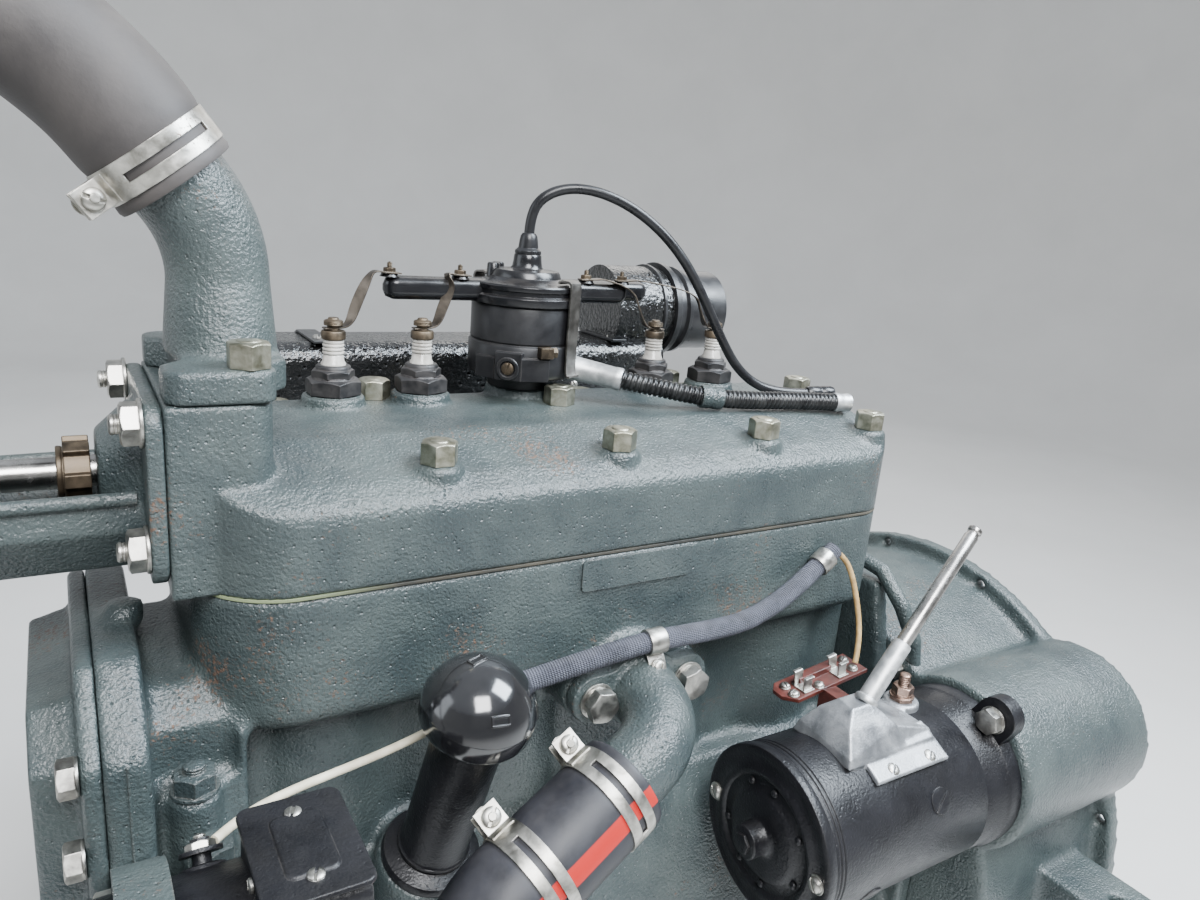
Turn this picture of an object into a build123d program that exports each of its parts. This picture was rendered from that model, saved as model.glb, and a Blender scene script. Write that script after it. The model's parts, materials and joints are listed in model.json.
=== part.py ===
"""Four-cylinder side-valve car engine, lengths in millimetres.

X runs to the rear of the engine, Y to its right-hand side and Z up.
The origin is on the crankshaft's axis, at the rear face of the flywheel housing.
Stations are measured rearwards from the first bore, heights up from the block's deck.
"""
from build123d import *
import math
import os

os.makedirs("parts", exist_ok=True)

# Cylinders and crankshaft
bore_d = 98.4
end_pitch = 108.0            # bores 1-2 and 3-4
middle_pitch = 124.0         # bores 2-3
deck_z = 295.0               # crankshaft axis to the block's deck
housing_depth = 155.0
rear_bore_to_housing = 90.0
shaft_r = 22.0
shaft_clearance = 0.05
seat_gap = 0.3               # rest gap of a piece on a curved seat
sleeve_gap = 0.1             # between a tube and the hose or band round it

bore1_x = -(housing_depth + rear_bore_to_housing + 2 * end_pitch + middle_pitch)
bore_xs = [bore1_x, bore1_x + end_pitch, bore1_x + end_pitch + middle_pitch,
           bore1_x + 2 * end_pitch + middle_pitch]
mid_x = (bore_xs[1] + bore_xs[2]) / 2


def station(s):
    """X of a point s behind the first bore."""
    return bore1_x + s


def height(h):
    """Z of a point h above the deck."""
    return deck_z + h


# Block and head outline, seen from above
head_front = bore_xs[0] - 70.0
head_rear = bore_xs[3] + 66.0
head_left = -77.0
head_right = 118.0
front_corner_r = 48.0
rear_corner_r = 32.0
gasket_t = 1.6

# Block
jacket_depth = 75.0
jacket_lip = 7.0             # the jacket's undercut above its ledge
barrel_wall = 12.0
barrel_depth = 182.0
chest_right = 108.0
rail_z = -35.0
rail_t = 14.0
rail_half = 140.0
crankcase_half = 128.0
case_front = bore_xs[0] - 114.4
case_flange_t = 20.0
case_body_back = bore_xs[0] - 50.0
block_front = bore_xs[0] - 94.0
block_rear = -housing_depth
pad_w = 82.0
pad_h = 21.0
pad_station = 178.0
pad_raise = 0.9

ledge_nuts = [(bore1_x - 75.5, -78.0, deck_z - 92.0), (bore1_x - 71.5, -101.5, deck_z - 117.0)]
ledge_r = 12.0

# Head casting
head_top = 69.0              # plateau above the deck
pad_top = 76.0               # seats of plugs and distributor
plug_pad_r = 19.0
shoulder_h = 44.0            # left wall's height
slope_foot_y = -62.0
slope_foot_h = 54.0
plateau_left = -24.0
plateau_right = 66.0
right_wall_h = 42.0
nut_seat_h = 59.5
nut_seat_r = 15.0
boss_front = bore_xs[0] - 79.6
boss_back = bore_xs[0] - 29.8
boss_half = 60.0
boss_top = 97.0
boss_corner_r = 15.0

# Head nuts
head_nut_af = 18.5
head_nut_h = 12.5
stud_r = 5.4
left_row_y = -56.0
centre_row_y = 23.0
inner_row_y = 62.0
right_row_y = 101.0
outlet_stud_x = bore_xs[0] - 41.0
rear_stud_x = bore_xs[3] + 48.5
outlet_stud_y = 50.0

# Plugs
plug_y = 46.0
plug_inner = 90.0
plug_outer = 146.0
plug_xs = [mid_x - plug_outer, mid_x - plug_inner, mid_x + plug_inner, mid_x + plug_outer]
adapter_af = 30.0
adapter_h = 11.0
plug_hex_af = 23.0
plug_hex_h = 6.5
plug_h = 30.0                # porcelain and terminal above the hexagon
porcelain_r = 7.2

# Distributor
dist_x = mid_x - 13.0
dist_y = 57.0
dist_r = 36.5
dist_base_r = 23.0
dist_base_h = 8.0
dist_body_h = 49.5
dist_cap_h = 16.0
arm_t = 13.0
arm_w = 15.0
arm_front = 99.0
arm_rear = 80.0
far_arm_reach = 107.0
far_arm_shift = 14.0
tower_r = 10.0
tower_h = 16.0
strap_t = 1.0
strap_w = 7.5

# Water outlet and its hose
outlet_x = bore_xs[0] - 46.0
outlet_flange_h = 16.0
neck_r = 24.6
neck_rise = 52.0             # straight part above the head's boss
neck_turn = 38.0             # degrees forward
neck_bend_r = 70.0
neck_end = 34.0
hose_wall = 6.6
hose_overlap = 30.0

# Water pump
pump_axis_h = 52.0
pump_flange_t = 8.0
pump_flange_low = 8.0
pump_shaft_r = 8.0
pump_front_x = bore_xs[0] - 176.0

# Belt drive
belt_x = bore_xs[0] - 200.0
belt_w = 15.0
belt_t = 9.0
belt_gap = 0.5
flange_t = 4.0
crank_pulley_r = 66.0
fan_pulley_r = 38.0
gen_pulley_r = 36.0
pulley_lip = 11.0
fan_r = 203.0
fan_x = belt_x - 40.0
gen_y = -176.0
gen_z = deck_z - 130.0
gen_r = 56.0
gen_front = bore_xs[0] - 166.0
gen_rear = bore_xs[0] - 22.0

# Water inlet elbow and lower hose
elbow_station = 176.0
elbow_h = -84.0
elbow_bolt_pitch = 67.5
elbow_flange_y = -88.0
elbow_flange_t = 10.0
elbow_r = 21.8
lower_hose_wall = 6.4

# Oil filler
filler_foot = (46.0, -84.0, -168.0)
filler_head = (55.0, -123.0, -50.0)
filler_r = 19.5
filler_wall = 1.6
filler_boss_len = 46.0
cap_r = 30.5
cap_skirt = 19.0
cap_dome = 22.0
cap_lift = 45.0

# Starter
starter_y = -150.0
starter_z = deck_z - 177.0
starter_r = 56.0
starter_front = bore_xs[0] + 253.0
starter_nose_r = 34.0
nose_pocket = 95.0
starter_lug_r = 66.0
starter_lug_angle = 119.0
plate_t = 7.0

# Flywheel housing and clutch
housing_r = 200.0
housing_wall = 12.0
rear_flange_r = 214.0
rear_flange_t = 14.0
bolt_circle_r = 204.0
bolt_hole_r = 4.75
housing_bolts = 12
flywheel_r = 181.0
flywheel_front = block_rear + 19.0
flywheel_back = flywheel_front + 32.0
ear_reach = 268.0
ear_hole_r = 6.5

# Oil pan
pan_bottom = -196.0
pan_half = 122.0
pan_floor_half = 88.0
pan_wall = 2.5

# Right-hand side
port_face_y = head_right
exhaust_port_h = -28.0
intake_port_h = -60.0
exhaust_y = 160.0
exhaust_h = -8.0
exhaust_r = 24.0
heater_front = bore_xs[0] - 22.0
heater_back = bore_xs[0] + 331.0
heater_left = 130.0
heater_right = 198.0
heater_low = 18.0
heater_top = 92.0


def hexagon(across_flats):
    """A hexagon in the current sketch."""
    RegularPolygon(radius=across_flats / 2, side_count=6, major_radius=False)


def deck_outline():
    """The outline that block, gasket and head share, in the current sketch."""
    with BuildSketch(mode=Mode.PRIVATE) as outline:
        with Locations(((head_front + head_rear) / 2, (head_left + head_right) / 2)):
            Rectangle(head_rear - head_front, head_right - head_left)
        fillet(outline.vertices().group_by(Axis.X)[0], radius=front_corner_r)
        fillet(outline.vertices().group_by(Axis.X)[-1], radius=rear_corner_r)
    add(outline.sketch)


def x_plane(x):
    """A sketch plane across the engine: its x is the engine's Y, its y is Z."""
    return Plane(origin=(x, 0, 0), x_dir=(0, 1, 0), z_dir=(1, 0, 0))


def side_plane(y):
    """A sketch plane along the engine: its x is the engine's X, its y is Z."""
    return Plane(origin=(0, y, 0), x_dir=(1, 0, 0), z_dir=(0, -1, 0))


# Timing case outline, from the left rail up over the top: Y and Z, with corner radii
case_half = 100.0
case_top = deck_z - 24.0
case_points = [(-rail_half, rail_z), (-rail_half, rail_z + rail_t), (-case_half - 12, 60),
               (-case_half, deck_z - 125), (-case_half + 4, deck_z - 58), (-58, case_top),
               (62, case_top), (112, deck_z - 70), (116, 60),
               (rail_half, rail_z + rail_t), (rail_half, rail_z)]


def case_outline(shrink=0.0):
    """The timing case's outline in the current sketch, made smaller by shrink."""
    with BuildSketch(mode=Mode.PRIVATE) as outline:
        with BuildLine():
            Polyline(*case_points, close=True)
        make_face()
        upper = outline.vertices().filter_by(lambda v: v.Y > rail_z + rail_t + 1)
        fillet(upper, radius=13)
        if shrink:
            offset(amount=-shrink)
    add(outline.sketch)


# Where the oil filler stands, which its boss on the block follows
foot = Vector(station(filler_foot[0]), filler_foot[1], height(filler_foot[2]))
head_point = Vector(station(filler_head[0]), filler_head[1], height(filler_head[2]))
filler_dir = (head_point - foot).normalized()
filler_len = (head_point - foot).length

# Cylinder block
with BuildPart() as cylinder_block:
    with BuildSketch(Plane.XY.offset(height(-jacket_depth + jacket_lip))):
        deck_outline()
    extrude(amount=jacket_depth - jacket_lip)
    with BuildSketch(Plane.XY.offset(height(-jacket_depth + jacket_lip))):
        deck_outline()
    extrude(amount=-jacket_lip, taper=42)
    with BuildSketch(Plane.XY.offset(height(-barrel_depth))):
        with Locations(*[(x, 0) for x in bore_xs]):
            Circle(bore_d / 2 + barrel_wall)
        with Locations((mid_x, (chest_right - 50) / 2)):
            Rectangle(bore_xs[3] - bore_xs[0] + 126, chest_right + 50)
    extrude(amount=barrel_depth - jacket_depth + 2)
    crankcase_mid = (block_front + block_rear) / 2
    crankcase_len = block_rear - block_front
    with BuildSketch(Plane.XY.offset(rail_z + rail_t)):
        with Locations((crankcase_mid, 0)):
            Rectangle(crankcase_len, 2 * crankcase_half)
    with BuildSketch(Plane.XY.offset(height(-barrel_depth + 6))):
        with Locations((crankcase_mid, 21)):
            Rectangle(crankcase_len, 176)
    loft()
    with BuildSketch(Plane.XY.offset(rail_z)):
        with Locations((crankcase_mid, 0)):
            Rectangle(crankcase_len, 2 * rail_half)
    extrude(amount=rail_t)
    # timing case, a full flange in front of a narrower body
    with BuildSketch(x_plane(case_front)):
        case_outline()
    extrude(amount=case_flange_t)
    with BuildSketch(x_plane(case_front + case_flange_t)):
        case_outline(shrink=24)
    extrude(amount=case_body_back - case_front - case_flange_t)
    # rear flange that the flywheel housing bolts to
    with BuildSketch(x_plane(block_rear - 14)):
        with BuildLine():
            Polyline((-rail_half, rail_z), (-rail_half, 16), (-86, 70), (-84, 150),
                     (-66, height(-66)), (100, height(-66)), (104, 150), (rail_half, 40),
                     (rail_half, rail_z), close=True)
        make_face()
    extrude(amount=14)
    # recess behind the case's flange, with a stepped ledge for two stud nuts
    with BuildSketch(Plane.XY.offset(ledge_nuts[0][2])):
        with Locations(((case_front + case_flange_t + bore1_x - 54) / 2, -66 - 30)):
            Rectangle(bore1_x - 54 - case_front - case_flange_t, 60)
    extrude(amount=46, mode=Mode.SUBTRACT)
    for x, y, z in ledge_nuts:
        with BuildSketch(Plane.XY.offset(z)):
            with Locations((x, y)):
                Circle(ledge_r)
            with Locations((x, y + 15)):
                Rectangle(2 * ledge_r, 30)
        extrude(amount=-100)
    # bump on top of the timing case, elbow pad, filler boss and blank pad
    with Locations((station(-98), -8, case_top)):
        Cylinder(9, 12)
    with BuildSketch(side_plane(elbow_flange_y)):
        with Locations((station(elbow_station), height(elbow_h))):
            SlotCenterToCenter(elbow_bolt_pitch, 34)
            Circle(29)
    extrude(amount=elbow_flange_y + 40)
    with BuildSketch(side_plane(head_left)):
        with Locations((station(pad_station), height(-1 - pad_h / 2))):
            Rectangle(pad_w, pad_h)
    extrude(amount=pad_raise)
    with Locations(Plane(origin=tuple(foot - filler_dir * filler_boss_len), z_dir=tuple(filler_dir))):
        Cylinder(filler_r + 11, filler_boss_len, align=(Align.CENTER, Align.CENTER, Align.MIN))
    # crankshaft bore
    with Locations(Plane(origin=(case_front - 5, 0, 0), z_dir=(1, 0, 0))):
        Cylinder(shaft_r + shaft_clearance, block_rear - case_front + 10,
                 align=(Align.CENTER, Align.CENTER, Align.MIN), mode=Mode.SUBTRACT)

# Head gasket
with BuildPart() as head_gasket:
    with BuildSketch(Plane.XY.offset(deck_z)):
        deck_outline()
    extrude(amount=gasket_t)

# Cylinder head: outline, cross-section and side view, each cutting the last
head_z = deck_z + gasket_t
with BuildPart() as cylinder_head:
    with BuildSketch(Plane.XY.offset(head_z)):
        deck_outline()
    extrude(amount=head_top)
    with BuildSketch(x_plane(head_front - 10)) as section:
        with BuildLine():
            Polyline((head_left, head_z), (head_left, height(shoulder_h)),
                     (slope_foot_y, height(slope_foot_h)), (plateau_left, height(head_top)),
                     (plateau_right, height(head_top)), (head_right, height(right_wall_h)),
                     (head_right, head_z), close=True)
        make_face()
        fillet(section.vertices().filter_by(lambda v: v.Y > head_z + 1), radius=13)
    extrude(amount=head_rear - head_front + 20, mode=Mode.INTERSECT)
    with BuildSketch(side_plane(head_right + 10)) as side_view:
        with Locations(((head_front + head_rear) / 2, head_z + (head_top + 20) / 2 - 20)):
            Rectangle(head_rear - head_front, head_top + 20 - gasket_t)
        fillet(side_view.vertices().group_by(Axis.Z)[-1], radius=22)
    extrude(amount=head_right - head_left + 20, mode=Mode.INTERSECT)
    # front boss that carries the pump and the water outlet
    with BuildSketch(Plane.XY.offset(head_z)) as boss_plan:
        with Locations(((boss_front + boss_back) / 2, 0)):
            Rectangle(boss_back - boss_front, 2 * boss_half)
        fillet(boss_plan.vertices().group_by(Axis.X)[-1], radius=boss_corner_r)
    extrude(amount=boss_top - gasket_t)
    # raised seats of the plugs and the distributor
    with BuildSketch(Plane.XY.offset(height(head_top))):
        with Locations(*[(x, plug_y) for x in plug_xs]):
            Circle(plug_pad_r)
        with Locations((dist_x, dist_y)):
            Circle(dist_base_r + 1.5)
    extrude(amount=pad_top - head_top)
    # seats of the left-hand nuts, sunk into the slope
    left_xs = [(bore_xs[0] + bore_xs[1]) / 2, mid_x, (bore_xs[2] + bore_xs[3]) / 2, rear_stud_x]
    with BuildSketch(Plane.XY.offset(height(nut_seat_h))):
        with Locations(*[(x, left_row_y) for x in left_xs]):
            Circle(nut_seat_r)
    extrude(amount=30, mode=Mode.SUBTRACT)
    with BuildSketch(Plane.XY.offset(height(right_wall_h + 6))):
        with Locations(*[(x, right_row_y) for x in bore_xs]):
            Circle(nut_seat_r)
    extrude(amount=40, mode=Mode.SUBTRACT)

# Head nuts, with the stud's end above each
centre_nuts = [(mid_x, centre_row_y), (rear_stud_x, centre_row_y), (left_xs[0], inner_row_y),
               (left_xs[2], inner_row_y)]
nut_seats = ([(x, left_row_y, nut_seat_h) for x in left_xs]
             + [(x, y, head_top) for x, y in centre_nuts]
             + [(x, right_row_y, right_wall_h + 6) for x in bore_xs]
             + [(outlet_stud_x, y, boss_top + outlet_flange_h)
                for y in (-outlet_stud_y, outlet_stud_y)])
with BuildPart() as head_nuts:
    for x, y, seat in nut_seats:
        with BuildSketch(Plane.XY.offset(height(seat))):
            with Locations((x, y)):
                hexagon(head_nut_af)
        extrude(amount=head_nut_h)
        with Locations((x, y, height(seat + head_nut_h))):
            Cylinder(stud_r, 2.5, align=(Align.CENTER, Align.CENTER, Align.MIN))

# Spark plugs and their adapters
with BuildPart() as plug_adapters:
    with BuildSketch(Plane.XY.offset(height(pad_top))):
        with Locations(*[(x, plug_y) for x in plug_xs]):
            hexagon(adapter_af)
    extrude(amount=adapter_h)
    with BuildSketch(Plane.XY.offset(height(pad_top + adapter_h))):
        with Locations(*[(x, plug_y) for x in plug_xs]):
            hexagon(plug_hex_af)
    extrude(amount=plug_hex_h)

plug_base = height(pad_top + adapter_h + plug_hex_h)
# porcelain profile: radius and height above the hexagon
plug_profile = [(0, 0), (porcelain_r + 2.6, 0), (porcelain_r, 3), (porcelain_r - 0.6, 11),
                (porcelain_r + 0.8, 12), (porcelain_r - 0.6, 13.4), (porcelain_r + 0.8, 14.8),
                (porcelain_r - 0.4, 16), (porcelain_r + 1.0, 17), (porcelain_r + 1.0, 21.5),
                (3.2, 22.5), (3.2, 24), (5.2, 24.5), (5.2, plug_h - 1), (2.5, plug_h), (0, plug_h)]
with BuildPart() as spark_plugs:
    for x in plug_xs:
        with BuildSketch(Plane(origin=(x, plug_y, plug_base), x_dir=(1, 0, 0), z_dir=(0, -1, 0))):
            with BuildLine():
                Polyline(*plug_profile, close=True)
            make_face()
        revolve(axis=Axis((x, plug_y, plug_base), (0, 0, 1)))

# Distributor
dist_z = height(pad_top)
cap_z = dist_z + dist_base_h + dist_body_h
arm_z = cap_z + 2
with BuildPart() as distributor_body:
    with BuildSketch(Plane.XY.offset(dist_z)):
        with Locations((dist_x, dist_y)):
            Circle(dist_base_r)
    extrude(amount=dist_base_h)
    with BuildSketch(Plane.XY.offset(dist_z + dist_base_h)):
        with Locations((dist_x, dist_y)):
            Circle(dist_r)
    extrude(amount=dist_body_h)
    chamfer(distributor_body.faces().sort_by(Axis.Z)[-1].edges(), length=1.5)

with BuildPart() as distributor_cap:
    with BuildSketch(Plane.XY.offset(cap_z)):
        with Locations((dist_x, dist_y)):
            Circle(dist_r + 2)
    extrude(amount=dist_cap_h)
    with BuildSketch(Plane.XY.offset(arm_z)):
        with Locations((dist_x + (arm_rear - arm_front) / 2, dist_y)):
            SlotOverall(arm_front + arm_rear, arm_w)
        with Locations((dist_x + far_arm_reach / 2, dist_y + far_arm_shift)):
            SlotOverall(far_arm_reach, arm_w)
    extrude(amount=arm_t)
    with BuildSketch(Plane.XY.offset(cap_z + dist_cap_h)):
        with Locations((dist_x, dist_y)):
            Circle(dist_r - 13)
    extrude(amount=6, taper=40)
    with BuildSketch(Plane.XY.offset(cap_z + dist_cap_h)):
        with Locations((dist_x, dist_y)):
            Circle(tower_r)
    extrude(amount=tower_h, taper=6)

# Spring clips: an upright strap each side that hooks over the cap
clip_t = 2.0
clip_w = 13.0
clip_low = 46.0
clip_hook = 9.0
with BuildPart() as distributor_clips:
    for clip_angle in (-60, 120):
        clip_plane = Plane(origin=(dist_x, dist_y, cap_z), x_dir=(math.cos(math.radians(clip_angle)),
                           math.sin(math.radians(clip_angle)), 0),
                           z_dir=(-math.sin(math.radians(clip_angle)),
                                  math.cos(math.radians(clip_angle)), 0))
        clip_r = dist_r + 2 + seat_gap
        with BuildSketch(clip_plane):
            with BuildLine():
                Polyline((clip_r, clip_low), (clip_r, -dist_cap_h - seat_gap),
                         (clip_r - clip_hook, -dist_cap_h - seat_gap),
                         (clip_r - clip_hook, -dist_cap_h - seat_gap - clip_t),
                         (clip_r + clip_t, -dist_cap_h - seat_gap - clip_t),
                         (clip_r + clip_t, clip_low), close=True)
            make_face()
        extrude(amount=clip_w / 2, both=True)

# Straps from the cap's terminals down to the plugs
strap_z = arm_z + arm_t + strap_t / 2
strap_y = dist_y - arm_w / 2 - strap_w - 0.6
plug_top = plug_base + plug_h + strap_t / 2
strap_starts = [dist_x - 96, dist_x - 49, dist_x + 46, dist_x + 76]
with BuildPart() as plug_straps:
    for x, start in zip(plug_xs, strap_starts):
        lean = 1 if start > x else -1
        with BuildSketch(side_plane(strap_y + strap_w)):
            with BuildLine():
                Polyline((start + lean * 5, strap_z), (start - lean * 8, strap_z + 2),
                         (x + lean * 14, (strap_z + plug_top) / 2 + 4),
                         (x + lean * 7, plug_top), (x - lean * 5, plug_top))
            trace(line_width=strap_t)
        extrude(amount=strap_w)
        with Locations((start, strap_y + strap_w + 4, strap_z)):
            Box(10, 12, strap_t)

# Water outlet: flange, upright neck and forward bend
neck_z = height(boss_top)
turn = math.radians(neck_turn)
neck_dir = Vector(-math.sin(turn), 0, math.cos(turn))
bend_start = Vector(outlet_x, 0, neck_z + neck_rise)
bend_end = bend_start + Vector(-neck_bend_r * (1 - math.cos(turn)), 0,
                               neck_bend_r * math.sin(turn))
neck_tip = bend_end + neck_dir * neck_end
with BuildPart() as water_outlet:
    with BuildSketch(Plane.XY.offset(neck_z)) as outlet_flange:
        with Locations((outlet_stud_x - 3, 0)):
            Rectangle(50, 2 * outlet_stud_y + 22)
        fillet(outlet_flange.vertices(), radius=10)
    extrude(amount=outlet_flange_h)
    with BuildSketch(Plane.XY.offset(neck_z + outlet_flange_h - 1)):
        with Locations((outlet_x, 0)):
            Ellipse(neck_r + 3, neck_r + 9)
    with BuildSketch(Plane.XY.offset(neck_z + neck_rise)):
        with Locations((outlet_x, 0)):
            Circle(neck_r)
    loft()
    with BuildLine() as neck_path:
        TangentArc(tuple(bend_start), tuple(bend_end), tangent=(0, 0, 1))
        Line(tuple(bend_end), tuple(neck_tip))
    with BuildSketch(Plane.XY.offset(neck_z + neck_rise)):
        with Locations((outlet_x, 0)):
            Circle(neck_r)
    sweep(path=neck_path.line)

# Upper hose, moulded to bend forward to the radiator, with its clamp
hose_r = neck_r + sleeve_gap + hose_wall
hose_start = neck_tip - neck_dir * hose_overlap
hose_bend_r = 170.0
hose_turn = math.radians(34.0)
hose_tail = 62.0
hose_out = Vector(-math.sin(turn + hose_turn), 0, math.cos(turn + hose_turn))
neck_left = Vector(-math.cos(turn), 0, -math.sin(turn))
hose_bend_end = (neck_tip + neck_left * (hose_bend_r * (1 - math.cos(hose_turn)))
                 + neck_dir * (hose_bend_r * math.sin(hose_turn)))
hose_tip = hose_bend_end + hose_out * hose_tail
with BuildPart() as upper_hose:
    with BuildLine() as hose_path:
        Line(tuple(hose_start), tuple(neck_tip))
        TangentArc(tuple(neck_tip), tuple(hose_bend_end), tangent=tuple(neck_dir))
        Line(tuple(hose_bend_end), tuple(hose_tip))
    with BuildSketch(Plane(origin=tuple(hose_start), z_dir=tuple(neck_dir))):
        Circle(hose_r)
        Circle(neck_r + sleeve_gap, mode=Mode.SUBTRACT)
    sweep(path=hose_path.line)

band_w = 17.0
band_t = 1.3


def hose_band(centre, direction, hose_radius, screw_side):
    """A screwed strap clamp round a hose, in the current part."""
    x_dir = Vector(*screw_side)
    band_plane = Plane(origin=tuple(centre - direction * (band_w / 2)), x_dir=tuple(x_dir),
                       z_dir=tuple(direction))
    with BuildSketch(band_plane) as band:
        Circle(hose_radius + sleeve_gap + band_t)
        Circle(hose_radius + sleeve_gap, mode=Mode.SUBTRACT)
    extrude(band.sketch, amount=band_w)
    with BuildSketch(band_plane) as lug:
        with Locations((hose_radius + sleeve_gap + 7, 0)):
            Rectangle(13, 11)
    extrude(lug.sketch, amount=band_w)


with BuildPart() as upper_hose_clamp:
    hose_band(hose_start + neck_dir * 14, neck_dir, hose_r, (0, -1, 0))

# Water pump: flange on the head's boss, barrel, trough and front bearing
pump_z = height(pump_axis_h)
pump_flange_x = boss_front - pump_flange_t
barrel_front = bore_xs[0] - 106.0
with BuildPart() as water_pump_body:
    with BuildSketch(x_plane(pump_flange_x)) as pump_flange:
        with Locations((0, height((pump_flange_low + boss_top) / 2))):
            Rectangle(2 * boss_half, boss_top - pump_flange_low)
        fillet(pump_flange.vertices(), radius=12)
    extrude(amount=pump_flange_t)
    with BuildSketch(x_plane(barrel_front)):
        with Locations((0, pump_z)):
            Circle(21)
    with BuildSketch(x_plane(pump_flange_x)):
        with Locations((0, pump_z)):
            Circle(38)
    loft()
    with BuildSketch(x_plane(pump_front_x)) as trough:
        with BuildLine():
            Polyline((-38, pump_z - 4), (-39.5, pump_z - 20), (-24, pump_z - 44),
                     (24, pump_z - 44), (39.5, pump_z - 20), (38, pump_z - 4), close=True)
        make_face()
        with Locations((0, pump_z)):
            Circle(33, mode=Mode.SUBTRACT)
    extrude(amount=pump_flange_x - pump_front_x)
    with BuildSketch(x_plane(pump_front_x)):
        with Locations((0, pump_z)):
            Circle(26)
        with Locations((0, pump_z - 24)):
            Rectangle(34, 30)
    extrude(amount=24)
    with Locations(Plane(origin=(pump_front_x - 1, 0, pump_z), z_dir=(1, 0, 0))):
        Cylinder(pump_shaft_r + shaft_clearance, pump_flange_x - pump_front_x + 1,
                 align=(Align.CENTER, Align.CENTER, Align.MIN), mode=Mode.SUBTRACT)

with BuildPart() as pump_packing_nut:
    with BuildSketch(x_plane(barrel_front - 14)):
        with Locations((0, pump_z)):
            Circle(15)
            with PolarLocations(15, 6):
                Rectangle(7, 6)
            Circle(pump_shaft_r + 1, mode=Mode.SUBTRACT)
    extrude(amount=14)

# Fan body: shaft, pulley and two-bladed fan, which turn together
with BuildPart() as pump_shaft:
    with Locations(Plane(origin=(fan_x - 12, 0, pump_z), z_dir=(1, 0, 0))):
        Cylinder(pump_shaft_r, pump_flange_x - 4 - fan_x + 12,
                 align=(Align.CENTER, Align.CENTER, Align.MIN))


def vee_pulley(y, z, root_r, hub_r, hub_front, hub_back, hole_r):
    """A grooved belt pulley about X, in the current part."""
    half = belt_w / 2 + belt_gap
    rim_r = root_r + pulley_lip
    with BuildSketch(Plane(origin=(belt_x, y, z), x_dir=(1, 0, 0), z_dir=(0, -1, 0))) as groove:
        with BuildLine():
            Polyline((-hub_front, hole_r), (-hub_front, hub_r), (-half - flange_t, hub_r),
                     (-half - flange_t, rim_r), (-half, rim_r), (-half + 2.5, root_r),
                     (half - 2.5, root_r), (half, rim_r), (half + flange_t, rim_r),
                     (half + flange_t, hub_r), (hub_back, hub_r), (hub_back, hole_r), close=True)
        make_face()
    revolve(groove.sketch, axis=Axis((belt_x, y, z), (1, 0, 0)))


with BuildPart() as fan_pulley:
    vee_pulley(0, pump_z, fan_pulley_r, 20, 22, 17, pump_shaft_r)

fan_hub_r = 30.0
blade_root_w = 66.0
blade_tip_w = 92.0
blade_t = 3.0
with BuildPart() as fan:
    with BuildSketch(x_plane(fan_x)):
        with Locations((0, pump_z)):
            Circle(fan_hub_r)
            Circle(pump_shaft_r, mode=Mode.SUBTRACT)
    extrude(amount=belt_x - 22 - fan_x)
    for blade_up in (1, -1):
        with BuildSketch(Plane(origin=(fan_x + 8, 0, pump_z + blade_up * (fan_hub_r - 8)),
                               x_dir=(math.sin(0.22), blade_up * math.cos(0.22), 0),
                               z_dir=(0, 0, blade_up))):
            SlotOverall(blade_root_w - 20, blade_t + 2)
        with BuildSketch(Plane(origin=(fan_x + 8, 0, pump_z + blade_up * fan_r),
                               x_dir=(math.sin(0.10), blade_up * math.cos(0.10), 0),
                               z_dir=(0, 0, blade_up))):
            SlotOverall(blade_tip_w - 20, blade_t)
        loft()

# Crankshaft body: shaft, pulley, starting nut, flywheel and clutch cover
cover_front = case_front - 36.0
crank_front = belt_x - 34.0
with BuildPart() as crankshaft:
    with Locations(Plane(origin=(crank_front, 0, 0), z_dir=(1, 0, 0))):
        Cylinder(shaft_r, flywheel_front - crank_front,
                 align=(Align.CENTER, Align.CENTER, Align.MIN))
    with BuildSketch(x_plane(block_rear + 5)):
        Circle(52)
    extrude(amount=flywheel_front - block_rear - 5)

with BuildPart() as crank_pulley:
    vee_pulley(0, 0, crank_pulley_r, 34, 16, cover_front - 5 - belt_x, shaft_r)

with BuildPart() as starting_nut:
    with BuildSketch(x_plane(crank_front - 14)):
        Circle(24)
        Rectangle(14, 60, mode=Mode.SUBTRACT)
    extrude(amount=14)
    with BuildSketch(x_plane(crank_front)):
        Circle(30)
        Circle(shaft_r, mode=Mode.SUBTRACT)
    extrude(amount=belt_x - 16 - crank_front)

with BuildPart() as flywheel:
    with BuildSketch(x_plane(flywheel_front)):
        Circle(flywheel_r)
    extrude(amount=14)
    with BuildSketch(x_plane(flywheel_front + 14)):
        Circle(flywheel_r - 7)
    extrude(amount=flywheel_back - flywheel_front - 14)

clutch_r = 146.0
with BuildPart() as clutch_cover:
    with BuildSketch(side_plane(0)):
        with BuildLine():
            Polyline((flywheel_back, 128), (flywheel_back, clutch_r), (flywheel_back + 6, clutch_r),
                     (flywheel_back + 34, clutch_r - 22), (flywheel_back + 40, 52),
                     (flywheel_back + 34, 48), (flywheel_back + 28, 118), close=True)
        make_face()
    revolve(axis=Axis.X)
    with BuildSketch(x_plane(flywheel_back + 20)):
        with PolarLocations(88, 6):
            SlotOverall(44, 24)
    extrude(amount=40, mode=Mode.SUBTRACT)

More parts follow.
